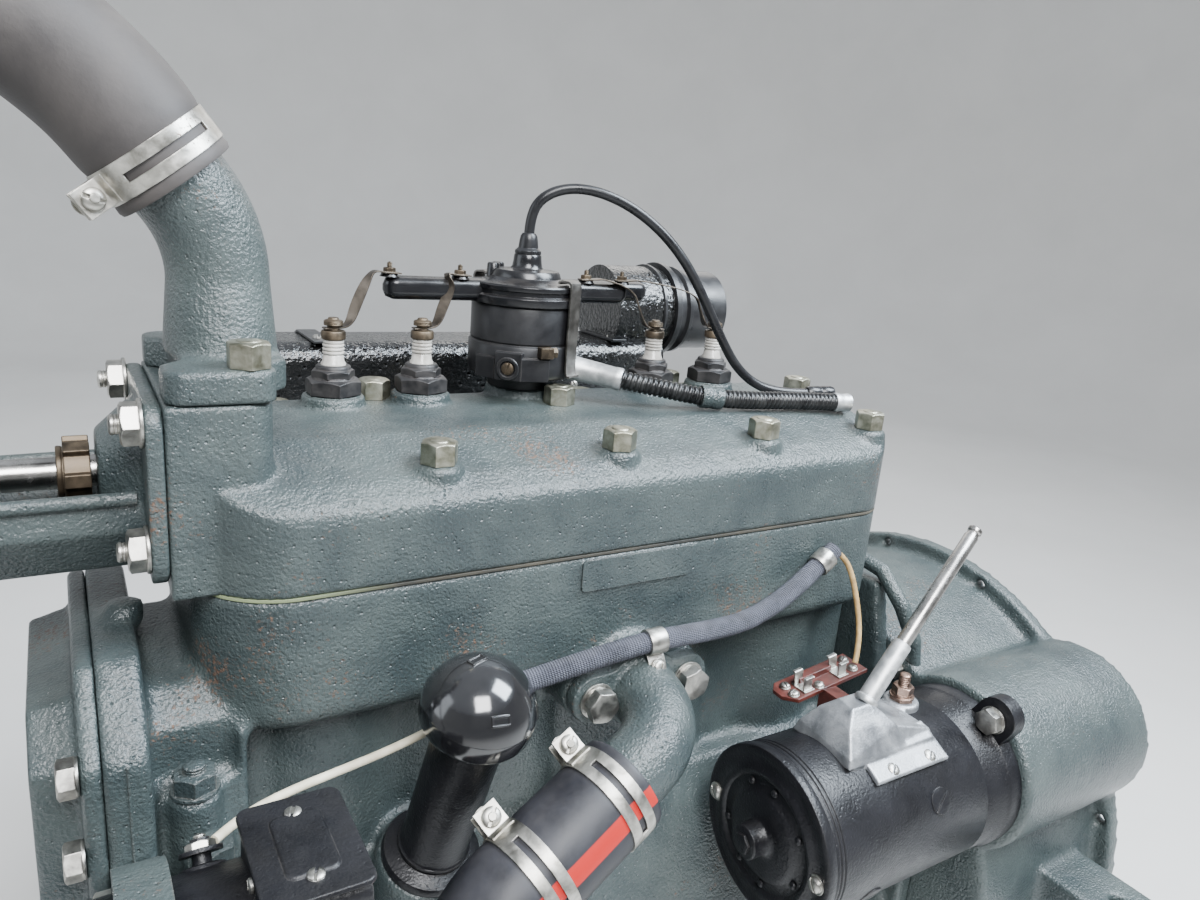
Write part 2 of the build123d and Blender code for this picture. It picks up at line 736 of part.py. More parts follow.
# Generator on the left-hand side, with its terminal post and its pulley
gen_post_dir = Vector(0, 0.679, 0.734).normalized()
gen_post_foot = Vector(station(-80), gen_y, gen_z) + gen_post_dir * (gen_r - 6)
gen_post_len = 18.0
gen_post_seat = 11.5
with BuildPart() as generator:
    with BuildSketch(x_plane(gen_front + 12)):
        with Locations((gen_y, gen_z)):
            Circle(gen_r)
    extrude(amount=gen_rear - gen_front - 24)
    with BuildSketch(x_plane(gen_rear - 12)):
        with Locations((gen_y, gen_z)):
            Circle(gen_r - 2)
    extrude(amount=12, taper=20)
    with BuildSketch(x_plane(gen_front + 12)):
        with Locations((gen_y, gen_z)):
            Circle(gen_r - 2)
    extrude(amount=-12, taper=20)
    with Locations(Plane(origin=tuple(gen_post_foot), z_dir=tuple(gen_post_dir))):
        Cylinder(4, gen_post_len, align=(Align.CENTER, Align.CENTER, Align.MIN))
    with Locations(Plane(origin=tuple(gen_post_foot + gen_post_dir * gen_post_seat),
                         z_dir=tuple(gen_post_dir))):
        Cylinder(9, 2, align=(Align.CENTER, Align.CENTER, Align.MIN))
    with Locations(Plane(origin=(gen_front - 1, gen_y, gen_z), z_dir=(1, 0, 0))):
        Cylinder(8 + shaft_clearance, 30, align=(Align.CENTER, Align.CENTER, Align.MIN),
                 mode=Mode.SUBTRACT)

with BuildPart() as generator_pulley:
    vee_pulley(gen_y, gen_z, gen_pulley_r, 16, 15, 17, 0.0)
    with Locations(Plane(origin=(belt_x, gen_y, gen_z), z_dir=(1, 0, 0))):
        Cylinder(8, gen_front + 28 - belt_x, align=(Align.CENTER, Align.CENTER, Align.MIN))

cutout_top = height(-60.0)
with BuildPart() as generator_cutout:
    with BuildSketch(x_plane(bore_xs[0] - 66)) as cutout_face:
        with BuildLine():
            Polyline((gen_y - 30, gen_z + gen_r - 12), (gen_y - 30, cutout_top - 4),
                     (gen_y - 10, cutout_top), (gen_y + 26, cutout_top - 4),
                     (gen_y + 30, gen_z + gen_r - 12), close=True)
        make_face()
        fillet(cutout_face.vertices().sort_by(Axis.Y)[2:], radius=7)
    extrude(amount=40)
    with Locations(Plane(origin=(gen_front, gen_y, gen_z), z_dir=(1, 0, 0))):
        Cylinder(gen_r + sleeve_gap, 200, align=(Align.CENTER, Align.CENTER, Align.MIN),
                 mode=Mode.SUBTRACT)

with BuildPart() as generator_bracket:
    with BuildSketch(x_plane(case_front)):
        with Locations(((-case_half + gen_y) / 2, gen_z)):
            Rectangle(-case_half - gen_y, 46)
        with Locations((gen_y, gen_z)):
            Circle(gen_r + 9)
            Circle(gen_r + sleeve_gap, mode=Mode.SUBTRACT)
    extrude(amount=case_flange_t)
    with BuildSketch(x_plane(case_front - 1)):
        case_outline()
    extrude(amount=case_flange_t + 2, mode=Mode.SUBTRACT)


# Belt: one loop round the three pulleys, from outside tangents
def belt_loop(extra):
    """Hull of the three pulley circles, grown by extra, in the current sketch."""
    with BuildSketch(mode=Mode.PRIVATE) as loop:
        for y, z, r in ((0, 0, crank_pulley_r), (0, pump_z, fan_pulley_r),
                        (gen_y, gen_z, gen_pulley_r)):
            with Locations((y, z)):
                Circle(r + extra)
        make_hull()
    return loop.sketch


with BuildPart() as fan_belt:
    with BuildSketch(x_plane(belt_x - belt_w / 2 + 2.5)):
        add(belt_loop(belt_gap + belt_t))
        add(belt_loop(belt_gap), mode=Mode.SUBTRACT)
    extrude(amount=belt_w - 5)

# Timing cover, with the crankshaft's hole, and the yoke that holds the front
with BuildPart() as timing_cover:
    with BuildSketch(x_plane(case_front - 9)):
        case_outline(shrink=1.5)
    extrude(amount=9)
    with BuildSketch(x_plane(case_front - 9)):
        case_outline(shrink=20)
    extrude(amount=-20, taper=14)
    with BuildSketch(x_plane(cover_front)):
        Circle(50)
    extrude(amount=20)
    with Locations(Plane(origin=(cover_front - 5, 0, 0), z_dir=(1, 0, 0))):
        Cylinder(shaft_r + shaft_clearance, 60, align=(Align.CENTER, Align.CENTER, Align.MIN),
                 mode=Mode.SUBTRACT)

yoke_t = 6.5
yoke_foot = -130.0
yoke_x = cover_front
yoke_holes = 110.0
with BuildPart() as front_yoke:
    with BuildSketch(x_plane(yoke_x)) as yoke:
        Circle(66)
        with Locations((0, yoke_foot / 2 - 20)):
            Rectangle(60, -yoke_foot - 40)
        Circle(50 + seat_gap, mode=Mode.SUBTRACT)
    extrude(amount=yoke_t)
    with BuildSketch(Plane.XY.offset(yoke_foot)):
        with Locations((yoke_x + yoke_t / 2, 0)):
            Rectangle(44, 150)
            with Locations((0, -yoke_holes / 2), (0, yoke_holes / 2)):
                Circle(6.5, mode=Mode.SUBTRACT)
    extrude(amount=10)

# Oil pan, a pressed trough under a flat rim
pan_floor_x = crankcase_mid + 20.0
with BuildPart() as oil_pan:
    with BuildSketch(Plane.XY.offset(rail_z - 3)):
        with Locations((crankcase_mid, 0)):
            Rectangle(crankcase_len - 16, 2 * pan_half)
    with BuildSketch(Plane.XY.offset(pan_bottom)):
        with Locations((pan_floor_x, 0)):
            Rectangle(crankcase_len - 130, 2 * pan_floor_half)
    loft()
    fillet(oil_pan.edges().filter_by(lambda e: e.center().Z < rail_z - 8), radius=14)
    with BuildSketch(Plane.XY.offset(rail_z - 3)):
        with Locations((crankcase_mid, 0)):
            Rectangle(crankcase_len, 2 * rail_half)
    extrude(amount=3)
    with BuildSketch(Plane.XY.offset(rail_z)):
        with Locations((crankcase_mid, 0)):
            Rectangle(crankcase_len - 16 - 4 * pan_wall, 2 * pan_half - 4 * pan_wall)
    with BuildSketch(Plane.XY.offset(pan_bottom + pan_wall)):
        with Locations((pan_floor_x, 0)):
            Rectangle(crankcase_len - 130 - 12 * pan_wall, 2 * pan_floor_half - 8 * pan_wall)
    loft(mode=Mode.SUBTRACT)
    with BuildSketch(Plane.XY.offset(pan_bottom)):
        with Locations((crankcase_mid + 60, 0)):
            hexagon(27)
    extrude(amount=-9)

# Flywheel housing, open to the rear, with its mounting ears
with BuildPart() as flywheel_housing:
    with BuildSketch(x_plane(block_rear)):
        Circle(housing_r)
        with Locations((starter_y, starter_z)):
            Circle(starter_r + 8)
    extrude(amount=housing_depth)
    with BuildSketch(x_plane(-rear_flange_t)):
        Circle(rear_flange_r)
    extrude(amount=rear_flange_t)
    with BuildSketch(x_plane(-88)) as ears:
        with BuildLine():
            Polyline((-ear_reach, 34), (-ear_reach, 10), (-150, -60), (150, -60),
                     (ear_reach, 10), (ear_reach, 34), close=True)
        make_face()
    extrude(amount=52)
    with BuildSketch(x_plane(block_rear + housing_wall)):
        Circle(housing_r - housing_wall)
    extrude(amount=housing_depth, mode=Mode.SUBTRACT)
    with BuildSketch(x_plane(block_rear + housing_wall)):
        with Locations((starter_y, starter_z)):
            Circle(starter_nose_r)
    extrude(amount=nose_pocket, mode=Mode.SUBTRACT)
    with BuildSketch(x_plane(block_rear - 1)):
        Circle(60)
        with Locations((starter_y, starter_z)):
            Circle(starter_nose_r)
    extrude(amount=housing_wall + 2, mode=Mode.SUBTRACT)
    with BuildSketch(x_plane(-rear_flange_t)):
        with PolarLocations(bolt_circle_r, housing_bolts, start_angle=15):
            Circle(bolt_hole_r)
    extrude(amount=rear_flange_t, mode=Mode.SUBTRACT)
    with BuildSketch(Plane.XY.offset(-20)):
        with Locations((-62, -ear_reach + 22), (-62, ear_reach - 22)):
            Circle(ear_hole_r)
    extrude(amount=70, mode=Mode.SUBTRACT)

# Starter motor: barrel, end plate with its boss, and mounting flange with its pilot
starter_back = block_rear - 12.0
starter_axis = (starter_y, starter_z)
with BuildPart() as starter_motor:
    with BuildSketch(x_plane(starter_front)):
        with Locations(starter_axis):
            Circle(starter_r)
    extrude(amount=starter_back - starter_front)
    with BuildSketch(x_plane(starter_front - plate_t)):
        with Locations(starter_axis):
            Circle(starter_r + 1)
    extrude(amount=plate_t)
    with BuildSketch(x_plane(starter_front - plate_t)):
        with Locations(starter_axis):
            Circle(30)
    extrude(amount=-5, taper=25)
    with BuildSketch(x_plane(starter_front - plate_t - 5)):
        with Locations(starter_axis):
            Circle(11)
    extrude(amount=-13)
    with BuildSketch(x_plane(starter_back)):
        with Locations(starter_axis):
            Circle(starter_r + 2)
        with Locations(Location((starter_y, starter_z), starter_lug_angle)):
            SlotCenterToCenter(2 * starter_lug_r, 30)
    extrude(amount=block_rear - starter_back)
    with BuildSketch(x_plane(block_rear)):
        with Locations(starter_axis):
            Circle(starter_nose_r - 0.2)
    extrude(amount=housing_wall - 1)

switch_low = starter_z + starter_r - 14
with BuildPart() as starter_switch:
    with BuildSketch(Plane.XY.offset(switch_low)) as switch_base:
        with Locations((bore_xs[0] + 326, starter_y)):
            Rectangle(84, 52)
        fillet(switch_base.vertices(), radius=6)
    extrude(amount=24, taper=12)
    with BuildSketch(Plane.XY.offset(switch_low + 22)):
        with Locations((bore_xs[0] + 311, starter_y)):
            Ellipse(22, 20)
    extrude(amount=16, taper=28)
    with Locations(Plane(origin=(starter_front, starter_y, starter_z), z_dir=(1, 0, 0))):
        Cylinder(starter_r + sleeve_gap, 200, align=(Align.CENTER, Align.CENTER, Align.MIN),
                 mode=Mode.SUBTRACT)

rod_foot = Vector(bore_xs[0] + 318, starter_y, switch_low + 32)
rod_dir = Vector(1, 0.12, 1.06).normalized()
with BuildPart() as starter_push_rod:
    with Locations(Plane(origin=tuple(rod_foot), z_dir=tuple(rod_dir))):
        Cylinder(8.5, 52, align=(Align.CENTER, Align.CENTER, Align.MIN))
        Cylinder(5.0, 150, align=(Align.CENTER, Align.CENTER, Align.MIN))
    with BuildSketch(Plane.XY.offset(switch_low)):
        with Locations((bore_xs[0] + 326, starter_y)):
            Rectangle(84, 52)
    extrude(amount=36, mode=Mode.SUBTRACT)
    add(starter_switch.part, mode=Mode.SUBTRACT)

# Fuse plate beside the switch, held by a foot, with a terminal at its rear end
fuse_x, fuse_y = station(320), starter_y + 42.0
fuse_h = -105.0
fuse_tilt = 8.0
fuse_post_h = 7.9
with BuildPart() as fuse_block:
    with Locations(Location((fuse_x, fuse_y, height(fuse_h)), (0, -fuse_tilt, 0))):
        Box(72, 24, 4)
        with Locations((-4, 3, 5)):
            Box(34, 7, 7)
    with Locations((fuse_x, fuse_y - 17, height(fuse_h - 9))):
        Box(12, 20, 18)
    with Locations((station(349), -113.5, height(fuse_h))):
        Cylinder(5, fuse_post_h, align=(Align.CENTER, Align.CENTER, Align.MIN))
    add(starter_switch.part, mode=Mode.SUBTRACT)
    add(starter_motor.part, mode=Mode.SUBTRACT)

# Water inlet elbow and lower hose
inlet = [Vector(station(elbow_station), elbow_flange_y - 6, height(elbow_h)),
         Vector(station(171), -137, height(-90)),
         Vector(station(123.4), -148, height(-110.7)),
         Vector(station(70.4), -160, height(-133.7))]
elbow_bend_r = 38.0
hose_low_dir = (inlet[3] - inlet[2]).normalized()
with BuildPart() as water_inlet_elbow:
    with BuildSketch(side_plane(elbow_flange_y)):
        with Locations((station(elbow_station), height(elbow_h))):
            SlotCenterToCenter(elbow_bolt_pitch, 32)
            Circle(26)
    extrude(amount=elbow_flange_t)
    with BuildLine() as elbow_path:
        FilletPolyline(tuple(inlet[0]), tuple(inlet[1]), tuple(inlet[2] + hose_low_dir * 16),
                       radius=elbow_bend_r)
    with BuildSketch(Plane(origin=tuple(inlet[0]), z_dir=tuple(inlet[1] - inlet[0]))):
        Circle(elbow_r)
    sweep(path=elbow_path.line)

low_hose_start = inlet[2] - hose_low_dir * 12
low_hose_r = elbow_r + sleeve_gap + lower_hose_wall
low_hose_grip = 29.0
low_hose_straight = 80.0
low_hose_bore_r = 21.4
low_hose_turn = math.radians(35.0)
low_hose_bend_r = 55.0
low_hose_tail = 60.0
low_hose_step = low_hose_start + hose_low_dir * low_hose_grip
low_bend_start = low_hose_start + hose_low_dir * low_hose_straight
low_side = Vector(hose_low_dir.Y, -hose_low_dir.X, 0).normalized()
low_down = low_side.cross(hose_low_dir).normalized()
low_down = low_down if low_down.Z < 0 else low_down * -1
low_hose_out = hose_low_dir * math.cos(low_hose_turn) + low_down * math.sin(low_hose_turn)
low_bend_end = (low_bend_start + hose_low_dir * (low_hose_bend_r * math.sin(low_hose_turn))
                + low_down * (low_hose_bend_r * (1 - math.cos(low_hose_turn))))
low_hose_tip = low_bend_end + low_hose_out * low_hose_tail
with BuildPart() as lower_hose:
    with BuildSketch(Plane(origin=tuple(low_hose_start), z_dir=tuple(hose_low_dir))):
        Circle(low_hose_r)
        Circle(elbow_r + sleeve_gap, mode=Mode.SUBTRACT)
    extrude(amount=low_hose_grip)
    with BuildLine() as low_hose_path:
        Line(tuple(low_hose_step), tuple(low_bend_start))
        TangentArc(tuple(low_bend_start), tuple(low_bend_end), tangent=tuple(hose_low_dir))
        Line(tuple(low_bend_end), tuple(low_hose_tip))
    with BuildSketch(Plane(origin=tuple(low_hose_step), z_dir=tuple(hose_low_dir))) as hose_ring:
        Circle(low_hose_r)
        Circle(low_hose_bore_r, mode=Mode.SUBTRACT)
    sweep(hose_ring.sketch, path=low_hose_path.line)

with BuildPart() as lower_hose_clamps:
    for along in (14, 70):
        hose_band(low_hose_start + hose_low_dir * along, hose_low_dir, low_hose_r,
                  tuple(hose_low_dir.cross(Vector(0, 1, 0)).normalized() * -1))

# Oil filler tube and its lift-off cap
with BuildPart() as oil_filler_tube:
    with Locations(Plane(origin=tuple(foot), z_dir=tuple(filler_dir))):
        Cylinder(filler_r, filler_len, align=(Align.CENTER, Align.CENTER, Align.MIN))
        Cylinder(filler_r + 9, 5, align=(Align.CENTER, Align.CENTER, Align.MIN))
    with Locations(Plane(origin=tuple(foot + filler_dir * 50), z_dir=tuple(filler_dir))):
        Cylinder(filler_r - filler_wall, filler_len,
                 align=(Align.CENTER, Align.CENTER, Align.MIN), mode=Mode.SUBTRACT)

dome_over = (cap_dome - cap_r) ** 2 / (2 * cap_dome)
dome_drop = cap_r + dome_over - cap_dome
dome_start = math.degrees(math.atan2(dome_drop, cap_r))
cap_base = head_point - filler_dir * (cap_skirt - 1)
cap_bore_r = filler_r + 0.4
cap_across = Plane(origin=tuple(cap_base), z_dir=tuple(filler_dir)).x_dir
with BuildPart() as oil_filler_cap:
    with BuildSketch(Plane(origin=tuple(cap_base), x_dir=tuple(cap_across),
                           z_dir=tuple(cap_across.cross(filler_dir)))):
        with BuildLine():
            Polyline((0, cap_skirt + 1), (cap_bore_r, cap_skirt + 1), (cap_bore_r, 0),
                     (cap_r - 6, 0), (cap_r, 7), (cap_r, cap_skirt))
            CenterArc((0, cap_skirt - dome_drop), cap_r + dome_over, dome_start, 90 - dome_start)
            Line((0, cap_skirt + cap_dome), (0, cap_skirt + 1))
        make_face()
    revolve(axis=Axis(tuple(cap_base), tuple(filler_dir)))

# Right-hand side: valve cover, manifolds, heater casing and carburettor
with BuildPart() as valve_cover:
    with BuildSketch(side_plane(chest_right)) as cover_plan:
        with Locations((mid_x, height(-136))):
            Rectangle(bore_xs[3] - bore_xs[0] + 60, 74)
        fillet(cover_plan.vertices(), radius=12)
    extrude(amount=-6)
    with BuildSketch(side_plane(chest_right + 6)) as cover_rib:
        with Locations((mid_x, height(-136))):
            Rectangle(bore_xs[3] - bore_xs[0] + 24, 44)
        fillet(cover_rib.vertices(), radius=10)
    extrude(amount=-5, taper=30)

exhaust_ports = [bore_xs[0] + 8, bore_xs[1] + 8, bore_xs[2] - 8, bore_xs[3] - 8]
exhaust_z = height(exhaust_h)
down_x = bore_xs[3] + 42.0
down_z = height(-176.0)
with BuildPart() as exhaust_manifold:
    with Locations(Plane(origin=(exhaust_ports[0] - 26, exhaust_y, exhaust_z), z_dir=(1, 0, 0))):
        Cylinder(exhaust_r, exhaust_ports[3] - exhaust_ports[0] + 26,
                 align=(Align.CENTER, Align.CENTER, Align.MIN))
    with BuildSketch(side_plane(port_face_y)):
        with Locations(*[(x, height(exhaust_port_h)) for x in exhaust_ports]):
            RectangleRounded(52, 40, 10)
    extrude(amount=-9)
    with BuildSketch(side_plane(port_face_y)):
        with Locations(*[(x, height(exhaust_port_h + 6)) for x in exhaust_ports]):
            RectangleRounded(36, 34, 10)
    extrude(amount=-(exhaust_y - port_face_y))
    with BuildLine() as down_path:
        FilletPolyline((exhaust_ports[3], exhaust_y, exhaust_z), (down_x, exhaust_y, exhaust_z),
                       (down_x, exhaust_y, down_z), radius=34)
    with BuildSketch(x_plane(exhaust_ports[3])):
        with Locations((exhaust_y, exhaust_z)):
            Circle(exhaust_r)
    sweep(path=down_path.line)
    with BuildSketch(Plane.XY.offset(down_z)) as down_flange:
        with Locations((down_x, exhaust_y)):
            SlotCenterToCenter(64, 26, rotation=90)
            Circle(30)
    extrude(amount=10)
    with BuildSketch(Plane.XY.offset(down_z - 1)):
        with Locations((down_x, exhaust_y)):
            Circle(exhaust_r - 5)
            with Locations((0, -32), (0, 32)):
                Circle(5.2)
    extrude(amount=41, mode=Mode.SUBTRACT)

heater_len = heater_back - heater_front
with BuildPart() as heater_casing:
    with BuildSketch(x_plane(heater_front)) as heater_section:
        with Locations(((heater_left + heater_right) / 2, height((heater_low + heater_top) / 2))):
            Rectangle(heater_right - heater_left, heater_top - heater_low)
        fillet(heater_section.vertices().group_by(Axis.Y)[-1], radius=14)
    extrude(amount=heater_len)
    with BuildSketch(x_plane(heater_back)):
        with Locations(((heater_left + heater_right) / 2, height(116))):
            Circle(37)
    extrude(amount=-50)
    with BuildSketch(x_plane(heater_back)):
        with Locations(((heater_left + heater_right) / 2, height(116))):
            Circle(37)
    extrude(amount=6)
    with Locations(((exhaust_ports[0] + exhaust_ports[3]) / 2, exhaust_y,
                    (exhaust_z + exhaust_r + height(heater_low)) / 2)):
        Box(200, 20, height(heater_low) - exhaust_z - exhaust_r + 8)
    with Locations(Plane(origin=(exhaust_ports[0] - 40, exhaust_y, exhaust_z), z_dir=(1, 0, 0))):
        Cylinder(exhaust_r, 460, align=(Align.CENTER, Align.CENTER, Align.MIN),
                 mode=Mode.SUBTRACT)

with BuildPart() as heater_duct:
    with BuildSketch(Plane(origin=(heater_back + 6, (heater_left + heater_right) / 2, height(116)),
                           x_dir=(1, 0, 0), z_dir=(0, -1, 0))):
        with BuildLine():
            Polyline((0, 28), (0, 41), (5, 41), (5, 35), (14, 35), (16, 38), (19, 38), (21, 35),
                     (58, 35), (58, 31), (10, 28), close=True)
        make_face()
    revolve(axis=Axis((0, (heater_left + heater_right) / 2, height(116)), (1, 0, 0)))

intake_ports = [bore_xs[0] + 54, bore_xs[3] - 54]
intake_y = port_face_y + 26.0
intake_z = height(intake_port_h)
carb_x = mid_x - 6
with BuildPart() as intake_manifold:
    with BuildSketch(side_plane(port_face_y)):
        with Locations(*[(x, intake_z) for x in intake_ports]):
            RectangleRounded(48, 36, 9)
    extrude(amount=-intake_y + port_face_y)
    with Locations(Plane(origin=(intake_ports[0] - 20, intake_y, intake_z), z_dir=(1, 0, 0))):
        Cylinder(19, intake_ports[1] - intake_ports[0] + 40,
                 align=(Align.CENTER, Align.CENTER, Align.MIN))
    with BuildSketch(Plane.XY.offset(intake_z - 46)):
        with Locations((carb_x, intake_y)):
            SlotCenterToCenter(60, 26)
            Circle(24)
    extrude(amount=8)
    with Locations((carb_x, intake_y, intake_z - 22)):
        Cylinder(19, 44)

carb_z = intake_z - 46
with BuildPart() as carburettor:
    with BuildSketch(Plane.XY.offset(carb_z)):
        with Locations((carb_x, intake_y)):
            SlotCenterToCenter(60, 26)
            Circle(23)
    extrude(amount=-9)
    with Locations((carb_x, intake_y, carb_z - 44)):
        Cylinder(21, 76)
    with Locations((carb_x - 36, intake_y + 8, carb_z - 62)):
        Cylinder(31, 44)
    with Locations((carb_x - 36, intake_y + 8, carb_z - 90)):
        Cylinder(10, 14)
    with BuildSketch(x_plane(carb_x)):
        with Locations((intake_y, carb_z - 84)):
            Circle(20)
    extrude(amount=62)
    fillet(carburettor.faces().sort_by(Axis.X)[-1].edges(), radius=3)

def hex_on(origin, direction, across_flats, thickness):
    """A hexagon head or nut standing on a seat, in the current part."""
    with BuildSketch(Plane(origin=tuple(origin), z_dir=tuple(direction))) as head_sketch:
        hexagon(across_flats)
    extrude(head_sketch.sketch, amount=thickness)


# Plated bolts and nuts: pump flange, inlet elbow, timing cover, starter and its switch
bolt_af = 16.0
bolt_h = 9.0
washer_t = 2.0
elbow_face_y = elbow_flange_y - elbow_flange_t
cover_bolt_inset = 8.0
left_bolt_heights = (-63.0, -105.0, -175.0, -255.0)     # above the deck
right_bolt_heights = (-105.0, -175.0, -255.0)


def case_edge(z, side):
    """Y of the timing case's outline at height z, on the side of that sign."""
    edge = [p for p in case_points if p[0] * side > 0]
    edge.sort(key=lambda p: p[1])
    for (y0, z0), (y1, z1) in zip(edge, edge[1:]):
        if z0 < z1 and z0 <= z <= z1:
            return y0 + (y1 - y0) * (z - z0) / (z1 - z0)
    return edge[-1][0]


cover_bolts = [(case_edge(height(h), side) - side * cover_bolt_inset, height(h))
               for side, heights in ((-1, left_bolt_heights), (1, right_bolt_heights))
               for h in heights]
with BuildPart() as plated_bolts:
    for y in (-50, 50):
        for z in (height(88), height(26)):
            hex_on((pump_flange_x, y, z), (-1, 0, 0), head_nut_af, bolt_h)
    for s in (-elbow_bolt_pitch / 2, elbow_bolt_pitch / 2):
        bolt_seat = (station(elbow_station) + s, elbow_face_y, height(elbow_h))
        with BuildSketch(side_plane(elbow_face_y)):
            with Locations((bolt_seat[0], bolt_seat[2])):
                Circle(head_nut_af / 2 * 1.16)
        extrude(amount=washer_t)
        hex_on((bolt_seat[0], elbow_face_y - washer_t, bolt_seat[2]), (0, -1, 0), head_nut_af, bolt_h)
    for y, z in cover_bolts:
        hex_on((case_front - 9, y, z), (-1, 0, 0), bolt_af, bolt_h)
    lug_angle = math.radians(starter_lug_angle)
    starter_lugs = [(starter_y + side * starter_lug_r * math.cos(lug_angle),
                     starter_z + side * starter_lug_r * math.sin(lug_angle)) for side in (-1, 1)]
    for y, z in starter_lugs:
        hex_on((starter_back, y, z), (-1, 0, 0), bolt_af, bolt_h)

# Painted stud nuts on the stepped ledge behind the timing flange
with BuildPart() as painted_nuts:
    for x, y, z in ledge_nuts:
        hex_on((x, y, z), (0, 0, 1), head_nut_af, 11)
        with Locations((x, y, z + 11)):
            Cylinder(stud_r, 4, align=(Align.CENTER, Align.CENTER, Align.MIN))


# Cords: each route is a list of points, with arcs as large as their runs allow
def point(s, y, h):
    """A route's point from its station, Y and height above the deck."""
    return Vector(station(s), y, height(h))


def cord_radii(route):
    """For each corner, 0.45 of its shorter run over the tangent of half the turn."""
    radii = []
    for before, corner, after in zip(route, route[1:], route[2:]):
        run = min((corner - before).length, (after - corner).length)
        half_turn = math.radians((corner - before).get_angle(after - corner)) / 2
        radii.append(0.45 * run / math.tan(half_turn))
    return radii


def cord_tube(name, route, radius):
    """A cord's solid tube along its route, in the current part."""
    radii = cord_radii(route)
    with BuildLine() as path:
        FilletPolyline(*[tuple(p) for p in route], radius=radii)
    with BuildSketch(Plane(origin=tuple(route[0]), z_dir=tuple(route[1] - route[0]))) as section:
        Circle(radius)
    sweep(section.sketch, path=path.line)
    print(name, "length", round(path.wires()[0].length, 1), "radii", [round(r) for r in radii])


loom_r = 6.5
loom_route = [point(78, -88, -70), point(110, -92, -63), point(144, -98, -55), point(178, -101, -50),
              point(214, -101.5, -51.5), point(252, -99, -53), point(288, -93, -46),
              point(318, -87, -34), point(342, -84.2, -20)]
with BuildPart() as loom:
    cord_tube("loom", loom_route, loom_r)

wire_r = 2.25
generator_post = gen_post_foot + gen_post_dir * 10
generator_wire_route = [point(78, -88, -70), point(60, -88, -77.5), point(42, -88.5, -83.5),
                        point(16, -92, -87.5), point(-12, -99, -87), point(-37, -107, -85),
                        point(-60, -117, -84), generator_post + Vector(6, 5.2, 3)]
with BuildPart() as generator_wire:
    cord_tube("generator_wire", generator_wire_route, wire_r)
    add(loom.part, mode=Mode.SUBTRACT)

fuse_wire_r = 2.0
fuse_wire_route = [point(342, -84.2, -20), point(351, -86, -26), point(356.5, -90.5, -37),
                   point(358, -97, -53), point(357.5, -104, -70), point(354, -110, -86),
                   point(349, -113.5, -96)]
with BuildPart() as fuse_wire:
    cord_tube("fuse_wire", fuse_wire_route, fuse_wire_r)
    add(loom.part, mode=Mode.SUBTRACT)

conduit_r = 6.5
conduit_route = [point(214, 14, 86), point(237, -2.5, 82.5), point(264, -15, 78.5),
                 point(293, -22, 76.6), point(323, -25.5, 76), point(351, -28.5, 75.2),
                 point(375, -33, 74.2)]
with BuildPart() as conduit:
    cord_tube("conduit", conduit_route, conduit_r)

lead_r = 3.5
lead_foot_h = 176.0
lead_route = [point(157, 57, lead_foot_h), point(157, 57, 191), point(164.5, 54.5, 204),
              point(181, 49.5, 211), point(202, 43, 210), point(226, 36, 201), point(249, 29, 185),
              point(268, 23, 164), point(284, 19, 139), point(299, 16, 114), point(315, 13, 92),
              point(334, 8, 78.5), point(355, 1, 74.5), point(374, -4.5, 75)]
with BuildPart() as ignition_lead:
    cord_tube("ignition_lead", lead_route, lead_r)

# What the cords come out of, are held by and end in
conduit_out = (conduit_route[-1] - conduit_route[-2]).normalized()
with BuildPart() as conduit_ferrules:
    ferrule_foot = point(184, 41, 91)
    ferrule_dir = (conduit_route[0] - ferrule_foot).normalized()
    with BuildSketch(Plane(origin=tuple(ferrule_foot), z_dir=tuple(ferrule_dir))):
        Circle(9)
    with BuildSketch(Plane(origin=tuple(conduit_route[0]), z_dir=tuple(ferrule_dir))):
        Circle(7.4)
    loft()
    add(distributor_body.part, mode=Mode.SUBTRACT)
    add(conduit.part, mode=Mode.SUBTRACT)
    with Locations(Plane(origin=tuple(conduit_route[-1]), z_dir=tuple(conduit_out))):
        Cylinder(7, 12, align=(Align.CENTER, Align.CENTER, Align.MIN))
    add(cylinder_head.part, mode=Mode.SUBTRACT)

lead_out = (lead_route[-1] - lead_route[-2]).normalized()
tower_top = height(pad_top) + dist_base_h + dist_body_h + dist_cap_h + tower_h
with BuildPart() as lead_boots:
    with BuildSketch(Plane.XY.offset(tower_top)):
        with Locations((dist_x, dist_y)):
            Circle(9.0)
    extrude(amount=height(lead_foot_h) - tower_top, taper=18)
    with Locations(Plane(origin=tuple(lead_route[-1]), z_dir=tuple(lead_out))):
        Cylinder(5.5, 22, align=(Align.CENTER, Align.CENTER, Align.MIN))


def strap_clip(centre, along, cord_radius, width):
    """A round strap of a P-clip, in the current part."""
    with BuildSketch(Plane(origin=tuple(centre - along * (width / 2)), z_dir=tuple(along))) as ring:
        Circle(cord_radius + sleeve_gap + 1.2)
        Circle(cord_radius + sleeve_gap, mode=Mode.SUBTRACT)
    extrude(ring.sketch, amount=width)


clip_dir = (loom_route[4] - loom_route[2]).normalized()
rear_clip = (loom_route[7] + loom_route[8]) * 0.5
rear_clip_dir = (loom_route[8] - loom_route[7]).normalized()
with BuildPart() as loom_clips:
    strap_clip(loom_route[3] + Vector(1, 0, -0.4), clip_dir, loom_r, 12)
    with Locations((loom_route[3].X + 1, loom_route[3].Y - 2, loom_route[3].Z - 12)):
        Box(12, 2, 12)
    strap_clip(rear_clip, rear_clip_dir, loom_r, 12)
    with BuildSketch(side_plane(head_left)):
        with Locations((rear_clip.X, rear_clip.Z - 8)):
            Rectangle(14, 22)
    extrude(amount=2)
    add(loom.part, mode=Mode.SUBTRACT)
    add(water_inlet_elbow.part, mode=Mode.SUBTRACT)


